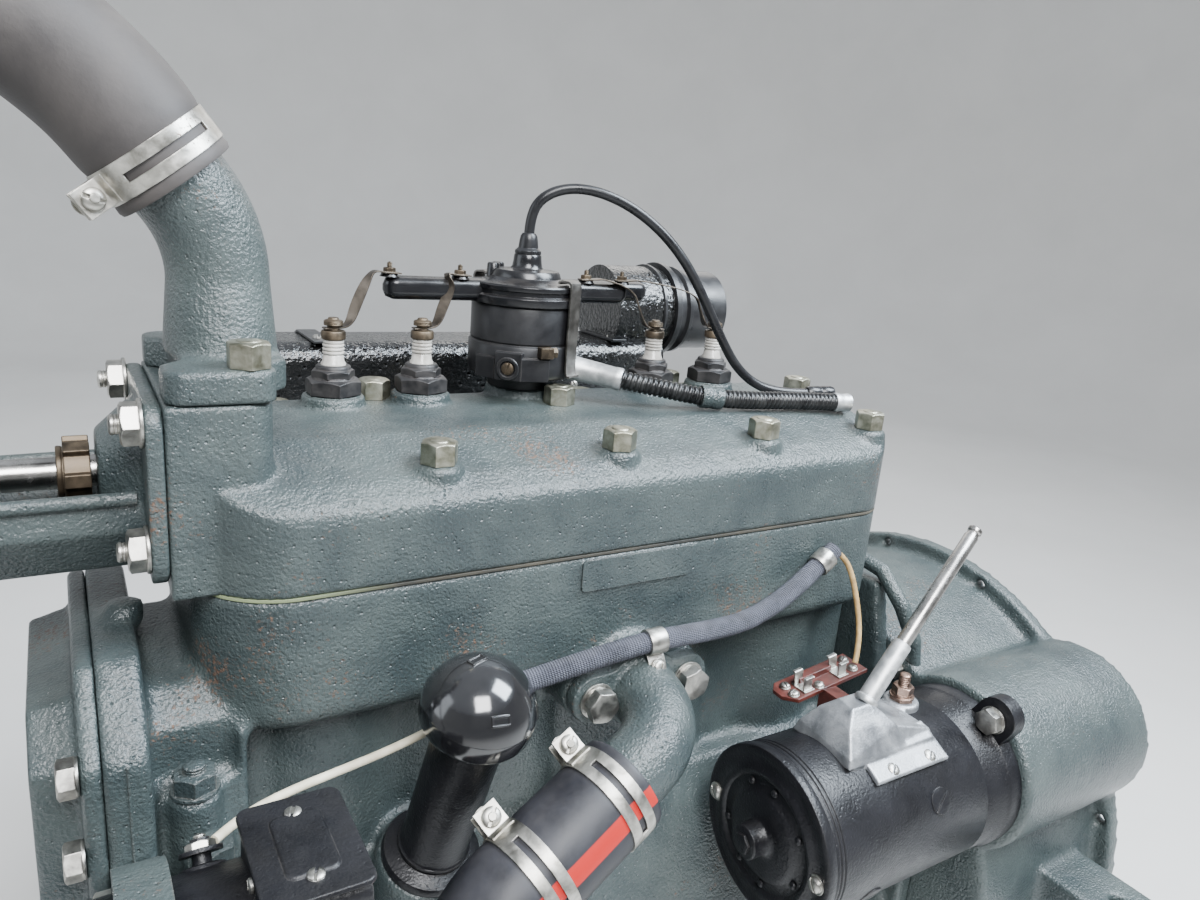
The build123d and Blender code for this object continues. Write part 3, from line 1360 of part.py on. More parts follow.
# Drain pipe from the block's rear down into the housing's top
drain_r = 6.0
drain_route = [point(406.2, -40, -52), point(419, -42, -52), point(424, -64, -57),
               point(426, -86, -78), point(434, -96, -104), point(437, -97, -124)]
with BuildPart() as drain_pipe:
    with BuildLine() as drain_path:
        FilletPolyline(*[tuple(p) for p in drain_route], radius=8)
    with BuildSketch(Plane(origin=tuple(drain_route[0]),
                           z_dir=tuple(drain_route[1] - drain_route[0]))):
        Circle(drain_r)
    sweep(path=drain_path.line)
    add(flywheel_housing.part, mode=Mode.SUBTRACT)
    add(cylinder_block.part, mode=Mode.SUBTRACT)

# Starter's terminal stud with its nuts
terminal_x, terminal_y = station(374), starter_y + 12
with BuildPart() as starter_terminal:
    with Locations((terminal_x, terminal_y, starter_z + starter_r - 6)):
        Cylinder(9, 10, align=(Align.CENTER, Align.CENTER, Align.MIN))
        Cylinder(4, 30, align=(Align.CENTER, Align.CENTER, Align.MIN))
    hex_on((terminal_x, terminal_y, starter_z + starter_r + 4), (0, 0, 1), 15, 6)
    hex_on((terminal_x, terminal_y, starter_z + starter_r + 12), (0, 0, 1), 13, 6)
    add(starter_motor.part, mode=Mode.SUBTRACT)
    add(starter_switch.part, mode=Mode.SUBTRACT)

pieces = {"cylinder_block": cylinder_block, "head_gasket": head_gasket,
          "cylinder_head": cylinder_head, "head_nuts": head_nuts,
          "plug_adapters": plug_adapters, "spark_plugs": spark_plugs,
          "distributor_body": distributor_body, "distributor_cap": distributor_cap,
          "distributor_clips": distributor_clips, "plug_straps": plug_straps,
          "water_outlet": water_outlet, "upper_hose": upper_hose,
          "upper_hose_clamp": upper_hose_clamp, "water_pump_body": water_pump_body,
          "pump_packing_nut": pump_packing_nut, "pump_shaft": pump_shaft,
          "fan_pulley": fan_pulley, "fan": fan, "crankshaft": crankshaft,
          "crank_pulley": crank_pulley, "starting_nut": starting_nut, "flywheel": flywheel,
          "clutch_cover": clutch_cover, "generator": generator,
          "generator_pulley": generator_pulley, "generator_cutout": generator_cutout,
          "generator_bracket": generator_bracket, "fan_belt": fan_belt,
          "timing_cover": timing_cover, "front_yoke": front_yoke, "oil_pan": oil_pan,
          "flywheel_housing": flywheel_housing, "starter_motor": starter_motor,
          "starter_switch": starter_switch, "starter_push_rod": starter_push_rod,
          "fuse_block": fuse_block, "water_inlet_elbow": water_inlet_elbow,
          "lower_hose": lower_hose, "lower_hose_clamps": lower_hose_clamps,
          "oil_filler_tube": oil_filler_tube, "oil_filler_cap": oil_filler_cap,
          "valve_cover": valve_cover,
          "exhaust_manifold": exhaust_manifold, "heater_casing": heater_casing,
          "heater_duct": heater_duct, "intake_manifold": intake_manifold,
          "carburettor": carburettor, "plated_bolts": plated_bolts, "painted_nuts": painted_nuts,
          "loom": loom, "generator_wire": generator_wire, "fuse_wire": fuse_wire,
          "conduit": conduit, "ignition_lead": ignition_lead, "conduit_ferrules": conduit_ferrules,
          "lead_boots": lead_boots, "loom_clips": loom_clips,
          "drain_pipe": drain_pipe, "starter_terminal": starter_terminal}
for label, piece in pieces.items():
    piece.part.label = label
    export_step(piece.part, f"parts/{label}.step")
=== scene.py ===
"""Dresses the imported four-cylinder engine with its castings, fittings, wiring and finishes.

X runs to the engine's rear, Y to its right-hand side and Z up. Objects are in metres.
A Form collects a piece in millimetres. Stations are measured rearwards from the first
bore and heights up from the block's deck, as at(station, y, height) takes them.
"""
import json
import math

import bmesh
import bpy
from bpy.props import FloatProperty, FloatVectorProperty, IntProperty, PointerProperty
from bpy.types import NodeSocket, Operator, Panel, PropertyGroup
from mathutils import Matrix, Vector


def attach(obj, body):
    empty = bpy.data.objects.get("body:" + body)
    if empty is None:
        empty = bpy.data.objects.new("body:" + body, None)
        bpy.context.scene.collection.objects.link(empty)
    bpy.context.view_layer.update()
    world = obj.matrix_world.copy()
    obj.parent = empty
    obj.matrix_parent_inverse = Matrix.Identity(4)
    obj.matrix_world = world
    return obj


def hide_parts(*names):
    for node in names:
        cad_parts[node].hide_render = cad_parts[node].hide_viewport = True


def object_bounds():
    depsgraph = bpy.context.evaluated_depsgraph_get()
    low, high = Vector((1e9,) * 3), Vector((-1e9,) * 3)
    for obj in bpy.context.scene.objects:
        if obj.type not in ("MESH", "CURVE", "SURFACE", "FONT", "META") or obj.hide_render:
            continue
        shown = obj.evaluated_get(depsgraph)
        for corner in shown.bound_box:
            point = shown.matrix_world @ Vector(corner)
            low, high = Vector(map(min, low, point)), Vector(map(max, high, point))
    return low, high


bl_info = {
    "name": "Side-Valve Engine Dressing",
    "version": (1, 0, 0),
    "blender": (4, 5, 0),
    "location": "3D View > Sidebar > Engine",
    "description": "Castings, fittings, wiring and finishes of a four-cylinder car engine",
    "category": "Object",
}

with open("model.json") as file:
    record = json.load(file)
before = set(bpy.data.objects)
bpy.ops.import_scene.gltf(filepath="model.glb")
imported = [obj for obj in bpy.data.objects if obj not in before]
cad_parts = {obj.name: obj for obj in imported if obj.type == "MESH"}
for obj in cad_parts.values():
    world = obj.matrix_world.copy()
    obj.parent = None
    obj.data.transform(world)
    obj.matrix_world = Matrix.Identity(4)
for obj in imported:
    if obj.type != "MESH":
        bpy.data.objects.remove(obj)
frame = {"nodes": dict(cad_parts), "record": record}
cad_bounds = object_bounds()

MM = 0.001
FIRST_BORE_X = -585.0
DECK_Z = 295.0
ROUTE_STEPS = 14
FORE, AFT = Vector((-1, 0, 0)), Vector((1, 0, 0))
LEFT, RIGHT = Vector((0, -1, 0)), Vector((0, 1, 0))
DOWN, UP = Vector((0, 0, -1)), Vector((0, 0, 1))


# Places and directions

def at(station, y, height):
    """A point in millimetres from its station, Y and height above the deck."""
    return Vector((FIRST_BORE_X + station, y, DECK_Z + height))


def basis(axis, hint=None):
    """Two directions square to axis, the first as near to hint as it can be, and axis."""
    axis = Vector(axis).normalized()
    side = Vector(hint) if hint is not None else axis.orthogonal()
    side = (side - axis * side.dot(axis)).normalized()
    return side, axis.cross(side), axis


def about_x(angle):
    """The direction at an angle about X, from Y towards Z."""
    return Vector((0, math.cos(angle), math.sin(angle)))


def about_z(angle):
    """The direction at an angle about Z, from X towards Y."""
    return Vector((math.cos(angle), math.sin(angle), 0))


def ring_point(x, radius, angle):
    """A point at a distance from the X axis, at an angle from Y towards Z."""
    return Vector((x, radius * math.cos(angle), radius * math.sin(angle)))


def held(value):
    """A value kept between 0 and 1."""
    return min(1.0, max(0.0, value))


def turns(count):
    """The angles of even steps round a circle."""
    return [2 * math.pi * i / count for i in range(count)]


def oblong(wide, tall):
    """The outline of a rectangle on its centre."""
    return [(-wide / 2, -tall / 2), (wide / 2, -tall / 2), (wide / 2, tall / 2),
            (-wide / 2, tall / 2)]


def rounded(wide, tall, r, steps=5):
    """The outline of a rectangle with round corners, on its centre."""
    found = []
    for k, (sx, sy) in enumerate(((1, 1), (-1, 1), (-1, -1), (1, -1))):
        for i in range(steps + 1):
            a = math.pi / 2 * (k + i / steps)
            found.append((sx * (wide / 2 - r) + r * math.cos(a),
                          sy * (tall / 2 - r) + r * math.sin(a)))
    return found


def capsule(length, width, steps=12):
    """The outline of a slot that long and wide over all, on its centre."""
    reach, r = length / 2 - width / 2, width / 2
    right = [(reach + r * math.cos(a), r * math.sin(a))
             for a in (-math.pi / 2 + math.pi * i / steps for i in range(steps + 1))]
    return right + [(-x, -y) for x, y in right]


def fill_spline(curve, points):
    """One open NURBS spline whose control points are the route's, in metres."""
    curve.dimensions = "3D"
    curve.resolution_u = ROUTE_STEPS
    spline = curve.splines.new("NURBS")
    spline.points.add(len(points) - 1)
    for control, place in zip(spline.points, points):
        control.co = (*place, 1.0)
    spline.order_u = 3
    spline.use_endpoint_u = True


def smooth_route(points):
    """Points in millimetres along the smooth curve that a cord's route points control."""
    curve = bpy.data.curves.new("route", "CURVE")
    fill_spline(curve, points)
    guide = bpy.data.objects.new("route", curve)
    line = bpy.data.meshes.new_from_object(guide)
    found = [Vector(v.co) / MM for v in line.vertices]
    bpy.data.objects.remove(guide)
    bpy.data.curves.remove(curve)
    bpy.data.meshes.remove(line)
    return found


def even_points(points, spacing):
    """The same line with points a constant distance apart."""
    lengths = [0.0]
    for a, b in zip(points, points[1:]):
        lengths.append(lengths[-1] + (b - a).length)
    count = max(2, round(lengths[-1] / spacing))
    found, k = [], 0
    for i in range(count + 1):
        want = lengths[-1] * i / count
        while k < len(points) - 2 and lengths[k + 1] < want:
            k += 1
        span = lengths[k + 1] - lengths[k]
        found.append(points[k].lerp(points[k + 1], (want - lengths[k]) / span if span else 0))
    return found


def nearest(run, distance):
    """The point of a run with the least distance(point), and the run's direction there."""
    k = min(range(1, len(run) - 1), key=lambda i: distance(run[i]))
    return run[k], (run[k + 1] - run[k - 1]).normalized()


# Meshes

class Form:
    """Collects the faces of one piece in millimetres and makes its object."""

    def __init__(self):
        self.bm = bmesh.new()
        self.uv = self.bm.loops.layers.uv.new("UVMap")

    def row(self, points):
        """New vertices at these points."""
        return [self.bm.verts.new(p) for p in points]

    def join(self, low, high, closed=True):
        """Faces between two rows of points, either of which may be a single point."""
        count = max(len(low), len(high))
        made = []
        for i in range(count if closed else count - 1):
            j = (i + 1) % count
            unique = []
            for corner in (low[i % len(low)], low[j % len(low)],
                           high[j % len(high)], high[i % len(high)]):
                if corner not in unique:
                    unique.append(corner)
            if len(unique) > 2:
                made.append(self.bm.faces.new(unique))
        return made

    def lathe(self, profile, origin, axis, sides=48, hint=None):
        """A turned shape: profile is (radius, distance along the axis)."""
        u, v, w = basis(axis, hint)
        origin = Vector(origin)
        before = None
        for radius, along in profile:
            centre = origin + w * along
            ring = self.row([centre + (u * math.cos(a) + v * math.sin(a)) * radius
                             for a in turns(sides)] if radius > 0 else [centre])
            if before is not None:
                self.join(before, ring)
            before = ring
        return self

    def disc(self, radius, thick, origin, axis, sides=48, hint=None):
        """A flat round plate, such as a plain washer."""
        return self.lathe([(0, 0), (radius, 0), (radius, thick), (0, thick)],
                          origin, axis, sides, hint)

    def prism(self, outline, origin, axis, depth, hint=None, taper=0.0):
        """A flat outline of (across, up) points, drawn depth along axis and shrunk by taper."""
        u, v, w = basis(axis, hint)
        origin = Vector(origin)
        low = self.row([origin + u * x + v * y for x, y in outline])
        high = self.row([origin + u * x * (1 - taper) + v * y * (1 - taper) + w * depth
                         for x, y in outline])
        self.bm.faces.new(low)
        self.bm.faces.new(high)
        self.join(low, high)
        return self

    def box(self, centre, size, axis=UP, hint=AFT, taper=0.0):
        """A block on its centre, with size along hint, square to both, and along axis."""
        x, y, z = size
        origin = Vector(centre) - Vector(axis).normalized() * (z / 2)
        return self.prism(oblong(x, y), origin, axis, z, hint, taper)

    def hexagon(self, origin, axis, across, thick, hint=None):
        """A hexagon head whose corners are turned off at the top."""
        u, v, w = basis(axis, hint)
        origin = Vector(origin)
        flat = across / 2
        top_r = flat * 0.95
        low, edge, top = [], [], []
        for a in turns(36):
            reach = flat / math.cos((a % (math.pi / 3)) - math.pi / 6)
            spoke = u * math.cos(a) + v * math.sin(a)
            low.append(origin + spoke * reach)
            edge.append(origin + spoke * reach + w * (thick - (reach - top_r) * 0.55))
            top.append(origin + spoke * top_r + w * thick)
        rows = [self.row(points) for points in (low, edge, top, [origin + w * thick])]
        for a, b in zip(rows, rows[1:]):
            self.join(a, b)
        self.bm.faces.new(rows[0])
        return self

    def stud(self, origin, axis, radius, length, pitch=1.4):
        """A threaded end that stands out of a nut."""
        profile, along = [(0, 0), (radius, 0)], 0.0
        while along + pitch < length - 0.8:
            profile += [(radius, along + pitch * 0.15), (radius - 0.45, along + pitch * 0.5),
                        (radius, along + pitch * 0.85)]
            along += pitch
        profile += [(radius, length - 0.8), (radius - 0.9, length), (0, length + 0.3)]
        return self.lathe(profile, origin, axis, 24)

    def slotted(self, origin, axis, radius, thick, hint=None, slot=1.3):
        """A domed screw head with a slot across it, as two half heads on a base."""
        u, v, w = basis(axis, hint)
        origin = Vector(origin)
        self.disc(radius, thick * 0.35, origin, axis, 28, hint)
        gap = slot / 2
        start = math.asin(gap / radius)
        for side in (1, -1):
            rows = []
            for reach, up in ((1.0, 0.35), (1.0, 0.62), (0.82, 0.88), (0.5, 1.0)):
                half = radius * reach
                begin = math.asin(min(gap / half, 1.0))
                rows.append([origin + u * (half * math.cos(a)) + v * (side * half * math.sin(a))
                             + w * (thick * up)
                             for a in (begin + (math.pi - 2 * begin) * i / 10 for i in range(11))])
            rows.append([origin + u * (radius * 0.5 * (1 - i / 5)) * math.cos(start)
                         + v * (side * gap) + w * thick for i in range(11)])
            rows = [self.row(points) for points in rows]
            for a, b in zip(rows, rows[1:]):
                self.join(a, b, closed=False)
            self.bm.faces.new([r[0] for r in rows[:-1]] + [r[-1] for r in reversed(rows[:-1])])
        return self

    def sweep(self, points, section, up, caps=True, sides=24):
        """A section drawn along a line. section is a list of (across, up) points or, for a
        round one, a radius or a function of distance and angle. up may be a function too."""
        points = [Vector(p) for p in points]
        last = len(points) - 1
        travelled = 0.0
        for i, p in enumerate(points):
            direction = (points[min(i + 1, last)] - points[max(i - 1, 0)]).normalized()
            v, u, _ = basis(direction, up(p) if callable(up) else up)
            step = (p - points[i - 1]).length if i else 0.0
            travelled += step
            shape = section
            if not isinstance(section, list):
                shape = []
                for a in turns(sides):
                    r = section(travelled, a) if callable(section) else section
                    shape.append((r * math.cos(a), r * math.sin(a)))
            ring = self.row([p + u * x + v * y for x, y in shape])
            if not i:
                first = before = ring
                continue
            for k, face in enumerate(self.join(before, ring)):
                for loop, (a, b) in zip(face.loops, ((0, 0), (1, 0), (1, 1), (0, 1))):
                    loop[self.uv].uv = ((k + a) / len(shape), (travelled - step * (1 - b)) * MM)
            before = ring
        if caps:
            self.bm.faces.new(first)
            self.bm.faces.new(before)
        self.ends = (first, before)
        return self

    def pipe(self, points, outer, inner, up, sides=56):
        """A hose with a wall: an outer and an inner skin, joined at both ends."""
        first, last = self.sweep(points, outer, up, caps=False, sides=sides).ends
        self.sweep(points, inner, up, caps=False, sides=sides)
        self.join(first, self.ends[0])
        self.join(last, self.ends[1])
        return self

    def band(self, centre, axis, radius, width, lug, slots, slot_w=4.0, steps=96):
        """A strap once round a hose, in three strips, whose middle one is cut by the slots.
        Each slot is a range of degrees from the lug's direction."""
        u, v, w = basis(axis, lug)
        half = slot_w / 2
        rows = [self.row([centre + w * along + (u * math.cos(a) + v * math.sin(a)) * radius
                          for a in turns(steps)])
                for along in (-width / 2, -half, half, width / 2)]
        for i in range(steps):
            j = (i + 1) % steps
            degrees = 360 * (i + 0.5) / steps
            cut = any(a < degrees < b for a, b in slots)
            for k, (low, high) in enumerate(zip(rows, rows[1:])):
                if not (cut and k == 1):
                    self.bm.faces.new([low[i], low[j], high[j], high[i]])
        return self

    def hull(self, points):
        """The smallest convex shape round some points."""
        bmesh.ops.convex_hull(self.bm, input=self.row(points))
        return self

    def mesh(self, name):
        """The collected faces as a mesh in metres."""
        bmesh.ops.recalc_face_normals(self.bm, faces=self.bm.faces)
        bmesh.ops.scale(self.bm, vec=(MM, MM, MM), verts=self.bm.verts)
        mesh = bpy.data.meshes.new(name)
        self.bm.to_mesh(mesh)
        self.bm.free()
        return mesh

    def cast(self, name, finish, nodes=(), body="engine", voxel=0.8, rounds=5):
        """The finished object as one soft casting."""
        return settle(skin(name, self.mesh(name), voxel, rounds), finish, nodes, body, angle=70)

    def done(self, name, finish, nodes=(), body="engine", bevel=0.0, angle=38, sheet=0.0):
        """The finished object, riding on its body and standing for its CAD nodes."""
        piece = bpy.data.objects.new(name, self.mesh(name))
        if sheet:
            modify(piece, "Sheet", "SOLIDIFY", thickness=sheet * MM, offset=1.0)
        return settle(piece, finish, nodes, body, bevel, angle)


def modify(piece, name, kind, **settings):
    """Gives a piece a modifier with its settings."""
    modifier = piece.modifiers.new(name, kind)
    for key, value in settings.items():
        setattr(modifier, key, value)
    return modifier


def settle(piece, finish, nodes=(), body="engine", bevel=0.0, angle=38):
    """Links a piece, gives it its finish and hands it to its body."""
    bpy.context.scene.collection.objects.link(piece)
    piece.data.materials.clear()
    piece.data.materials.append(material(finish))
    if piece.type == "MESH":
        piece.data.shade_smooth()
        piece.data.set_sharp_from_angle(angle=math.radians(angle))
        if bevel:
            modify(piece, "Edges", "BEVEL", width=bevel * MM, segments=2, limit_method="ANGLE",
                   angle_limit=math.radians(angle), harden_normals=True)
    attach(piece, body)
    if nodes:
        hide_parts(*nodes)
    return piece


def casting(name, node, voxel, rounds, keep=None, share=1.0, extra=None, shape=None):
    """A CAD node's shape with the soft edges of a casting. keep(point) holds edges crisp,
    extra is a form that is cast on, and shape(point) moves the finished skin's points."""
    mesh = bpy.data.meshes.new_from_object(frame["nodes"][node])
    if extra is not None:
        both = bmesh.new()
        both.from_mesh(mesh)
        both.from_mesh(extra.mesh(name + "_extra"))
        both.to_mesh(mesh)
        both.free()
    piece = skin(name, mesh, voxel, rounds, keep, share)
    if shape is not None:
        for v in piece.data.vertices:
            v.co = shape(v.co / MM) * MM
    return settle(piece, "engine_paint", (node,), angle=70)


def skin(name, mesh, voxel, rounds, keep=None, share=1.0):
    """One closed skin round all of a mesh's parts, softened as a casting is."""
    rough = bpy.data.objects.new(name, mesh)
    bpy.context.scene.collection.objects.link(rough)
    modify(rough, "Skin", "REMESH", mode="VOXEL", voxel_size=voxel * MM)
    piece = bpy.data.objects.new(name, applied(rough))
    bpy.context.scene.collection.objects.link(piece)
    smooth = modify(piece, "Soften", "SMOOTH", factor=0.5, iterations=rounds)
    if keep is not None:
        group = piece.vertex_groups.new(name="soft")
        group.add([v.index for v in piece.data.vertices if not keep(v.co / MM)], 1.0, "REPLACE")
        smooth.vertex_group = "soft"
    if share < 1.0:
        modify(piece, "Fewer", "DECIMATE", ratio=share)
    final = applied(piece)
    final.name = name
    return bpy.data.objects.new(name, final)


def applied(piece):
    """A piece's mesh with its modifiers applied, which takes the piece's place."""
    deps = bpy.context.evaluated_depsgraph_get()
    mesh = bpy.data.meshes.new_from_object(piece.evaluated_get(deps))
    bpy.data.objects.remove(piece)
    return mesh


# Shader nodes

def feed(tree, socket, value):
    """Links another socket to this one, or gives it a value of its own."""
    if isinstance(value, NodeSocket):
        tree.links.new(value, socket)
    else:
        socket.default_value = (*value, 1.0) if socket.type == "RGBA" else value


def add_node(tree, kind, sockets=None, **settings):
    """A node with its settings and what its sockets are fed."""
    node = tree.nodes.new("ShaderNode" + kind)
    for key, value in settings.items():
        setattr(node, key, value)
    for key, value in (sockets or {}).items():
        feed(tree, node.inputs[key], value)
    return node


def calc(tree, operation, *terms, clamp=False):
    """The result of a sum on sockets and numbers."""
    node = add_node(tree, "Math", dict(enumerate(terms)), operation=operation, use_clamp=clamp)
    return node.outputs[0]


def vector_calc(tree, operation, a, b, result):
    """The result of a sum on two vectors."""
    return add_node(tree, "VectorMath", {0: a, 1: b}, operation=operation).outputs[result]


def ranged(tree, value, low, high, to_low=0.0, to_high=1.0):
    """A value taken from one range to another, and held inside it."""
    return add_node(tree, "MapRange", {"Value": value, "From Min": low, "From Max": high,
                                       "To Min": to_low, "To Max": to_high}).outputs["Result"]


def noise(tree, place, scale, detail, roughness=0.5, distortion=0.0):
    """A noise texture's value."""
    return add_node(tree, "TexNoise", {"Vector": place, "Scale": scale, "Detail": detail,
                                       "Roughness": roughness,
                                       "Distortion": distortion}).outputs["Fac"]


def part_of(tree, vector, letter):
    """One part of a vector."""
    return add_node(tree, "SeparateXYZ", {"Vector": vector}).outputs[letter]


def blend(tree, factor, low, high, **settings):
    """Two colours blended by a factor."""
    mix = add_node(tree, "Mix", {0: factor}, data_type="RGBA", **settings)
    for socket, value in zip([s for s in mix.inputs if s.type == "RGBA"], (low, high)):
        feed(tree, socket, value)
    return next(s for s in mix.outputs if s.type == "RGBA")


def ramp(tree, value, low, high):
    """A colour between low and high."""
    node = add_node(tree, "ValToRGB", {"Fac": value})
    for element, colour in zip(node.color_ramp.elements, (low, high)):
        element.color = (*colour, 1)
    return node.outputs["Color"]


def raised(tree, height, distance, normal):
    """The normal of a surface that a height raises by a distance in metres."""
    return add_node(tree, "Bump", {"Strength": 1.0, "Distance": distance, "Height": height,
                                   "Normal": normal}).outputs["Normal"]


def shader_group(name, inputs, outputs):
    """A node group, its inputs' sockets and its outputs' sockets."""
    group = bpy.data.node_groups.new(name, "ShaderNodeTree")
    add = group.interface.new_socket
    add(name="Vector", in_out="INPUT", socket_type="NodeSocketVector")
    for label, value in inputs.items():
        kind = "Color" if isinstance(value, tuple) else "Float"
        add(name=label, in_out="INPUT", socket_type="NodeSocket" + kind).default_value = value
    for label in outputs:
        kind = "Color" if label == "Color" else "Float"
        add(name=label, in_out="OUTPUT", socket_type="NodeSocket" + kind)
    return (group, group.nodes.new("NodeGroupInput").outputs,
            group.nodes.new("NodeGroupOutput").inputs)


def mottle_group():
    """Two colours that drift into each other, and the mask between them."""
    group, given, out = shader_group(
        "Mottle", {"Low": (0, 0, 0, 1), "High": (1, 1, 1, 1), "Scale": 40.0}, ("Color", "Mask"))
    broad = noise(group, given["Vector"], given["Scale"], 6.0, 0.62, 0.3)
    mask = ranged(group, broad, 0.34, 0.66)
    feed(group, out["Color"], blend(group, mask, given["Low"], given["High"]))
    feed(group, out["Mask"], mask)
    return group


def grain_group():
    """Height of a sand-cast or hammered skin: fine grain, slow waves and small pits."""
    group, given, out = shader_group(
        "Cast Grain", {"Scale": 600.0, "Waves": 0.5, "Pits": 0.3}, ("Height",))
    place, scale = given["Vector"], given["Scale"]
    fine = noise(group, place, scale, 3.0)
    slow = noise(group, place, calc(group, "MULTIPLY", scale, 0.17), 2.0)
    cells = add_node(group, "TexVoronoi",
                     {"Vector": place, "Scale": calc(group, "MULTIPLY", scale, 0.45)})
    pit = ranged(group, cells.outputs["Distance"], 0.0, 0.22, -1.0, 0.0)
    waves = calc(group, "MULTIPLY", slow, given["Waves"])
    pits = calc(group, "MULTIPLY", pit, given["Pits"])
    feed(group, out["Height"], calc(group, "ADD", calc(group, "ADD", fine, waves), pits))
    return group


def wear_group():
    """Mask of the edges that hands and tools rub, found by rounding them."""
    group, given, out = shader_group("Edge Wear", {"Radius": 0.001, "Amount": 0.5}, ("Mask",))
    soft = add_node(group, "Bevel", {"Radius": given["Radius"]}, samples=4).outputs["Normal"]
    plain = add_node(group, "NewGeometry").outputs["Normal"]
    sharp = ranged(group, vector_calc(group, "DOT_PRODUCT", soft, plain, "Value"), 0.99, 0.82)
    broken = ranged(group, noise(group, given["Vector"], 130.0, 5.0), 0.38, 0.6)
    both = calc(group, "MULTIPLY", sharp, broken)
    feed(group, out["Mask"], calc(group, "MULTIPLY", both, given["Amount"], clamp=True))
    return group


def rust_group():
    """Mask and colour of rust specks that gather in loose patches."""
    group, given, out = shader_group("Rust Specks", {"Scale": 300.0, "Cover": 0.2},
                                     ("Mask", "Color"))
    place = given["Vector"]
    total = calc(group, "ADD", noise(group, place, given["Scale"], 4.0, 0.7),
                 noise(group, place, 14.0, 3.0))
    limit = ranged(group, given["Cover"], 0.0, 1.0, 1.42, 0.86)
    over = calc(group, "SUBTRACT", total, limit)
    feed(group, out["Mask"], calc(group, "MULTIPLY", over, 9.0, clamp=True))
    feed(group, out["Color"], ramp(group, noise(group, place, 900.0, 3.0),
                                   (0.040, 0.022, 0.017), (0.155, 0.088, 0.052)))
    return group


def dust_group():
    """Mask of the dust that settles on surfaces facing up."""
    group, given, out = shader_group("Settled Dust", {"Amount": 0.3}, ("Mask",))
    normal = add_node(group, "NewGeometry").outputs["Normal"]
    facing = ranged(group, part_of(group, normal, "Z"), 0.35, 0.95)
    spread = ranged(group, noise(group, given["Vector"], 55.0, 6.0, 0.7), 0.35, 0.7)
    both = calc(group, "MULTIPLY", facing, spread)
    feed(group, out["Mask"], calc(group, "MULTIPLY", both, given["Amount"], clamp=True))
    return group


GROUP_MAKERS = {"Mottle": mottle_group, "Cast Grain": grain_group, "Edge Wear": wear_group,
                "Rust Specks": rust_group, "Settled Dust": dust_group}


def effect(tree, name, place, **values):
    """The outputs of a shared effect, placed in a material with its own values."""
    node = tree.nodes.new("ShaderNodeGroup")
    node.node_tree = bpy.data.node_groups.get(name) or GROUP_MAKERS[name]()
    for key, value in {"Vector": place, **values}.items():
        feed(tree, node.inputs[key], value)
    return node.outputs


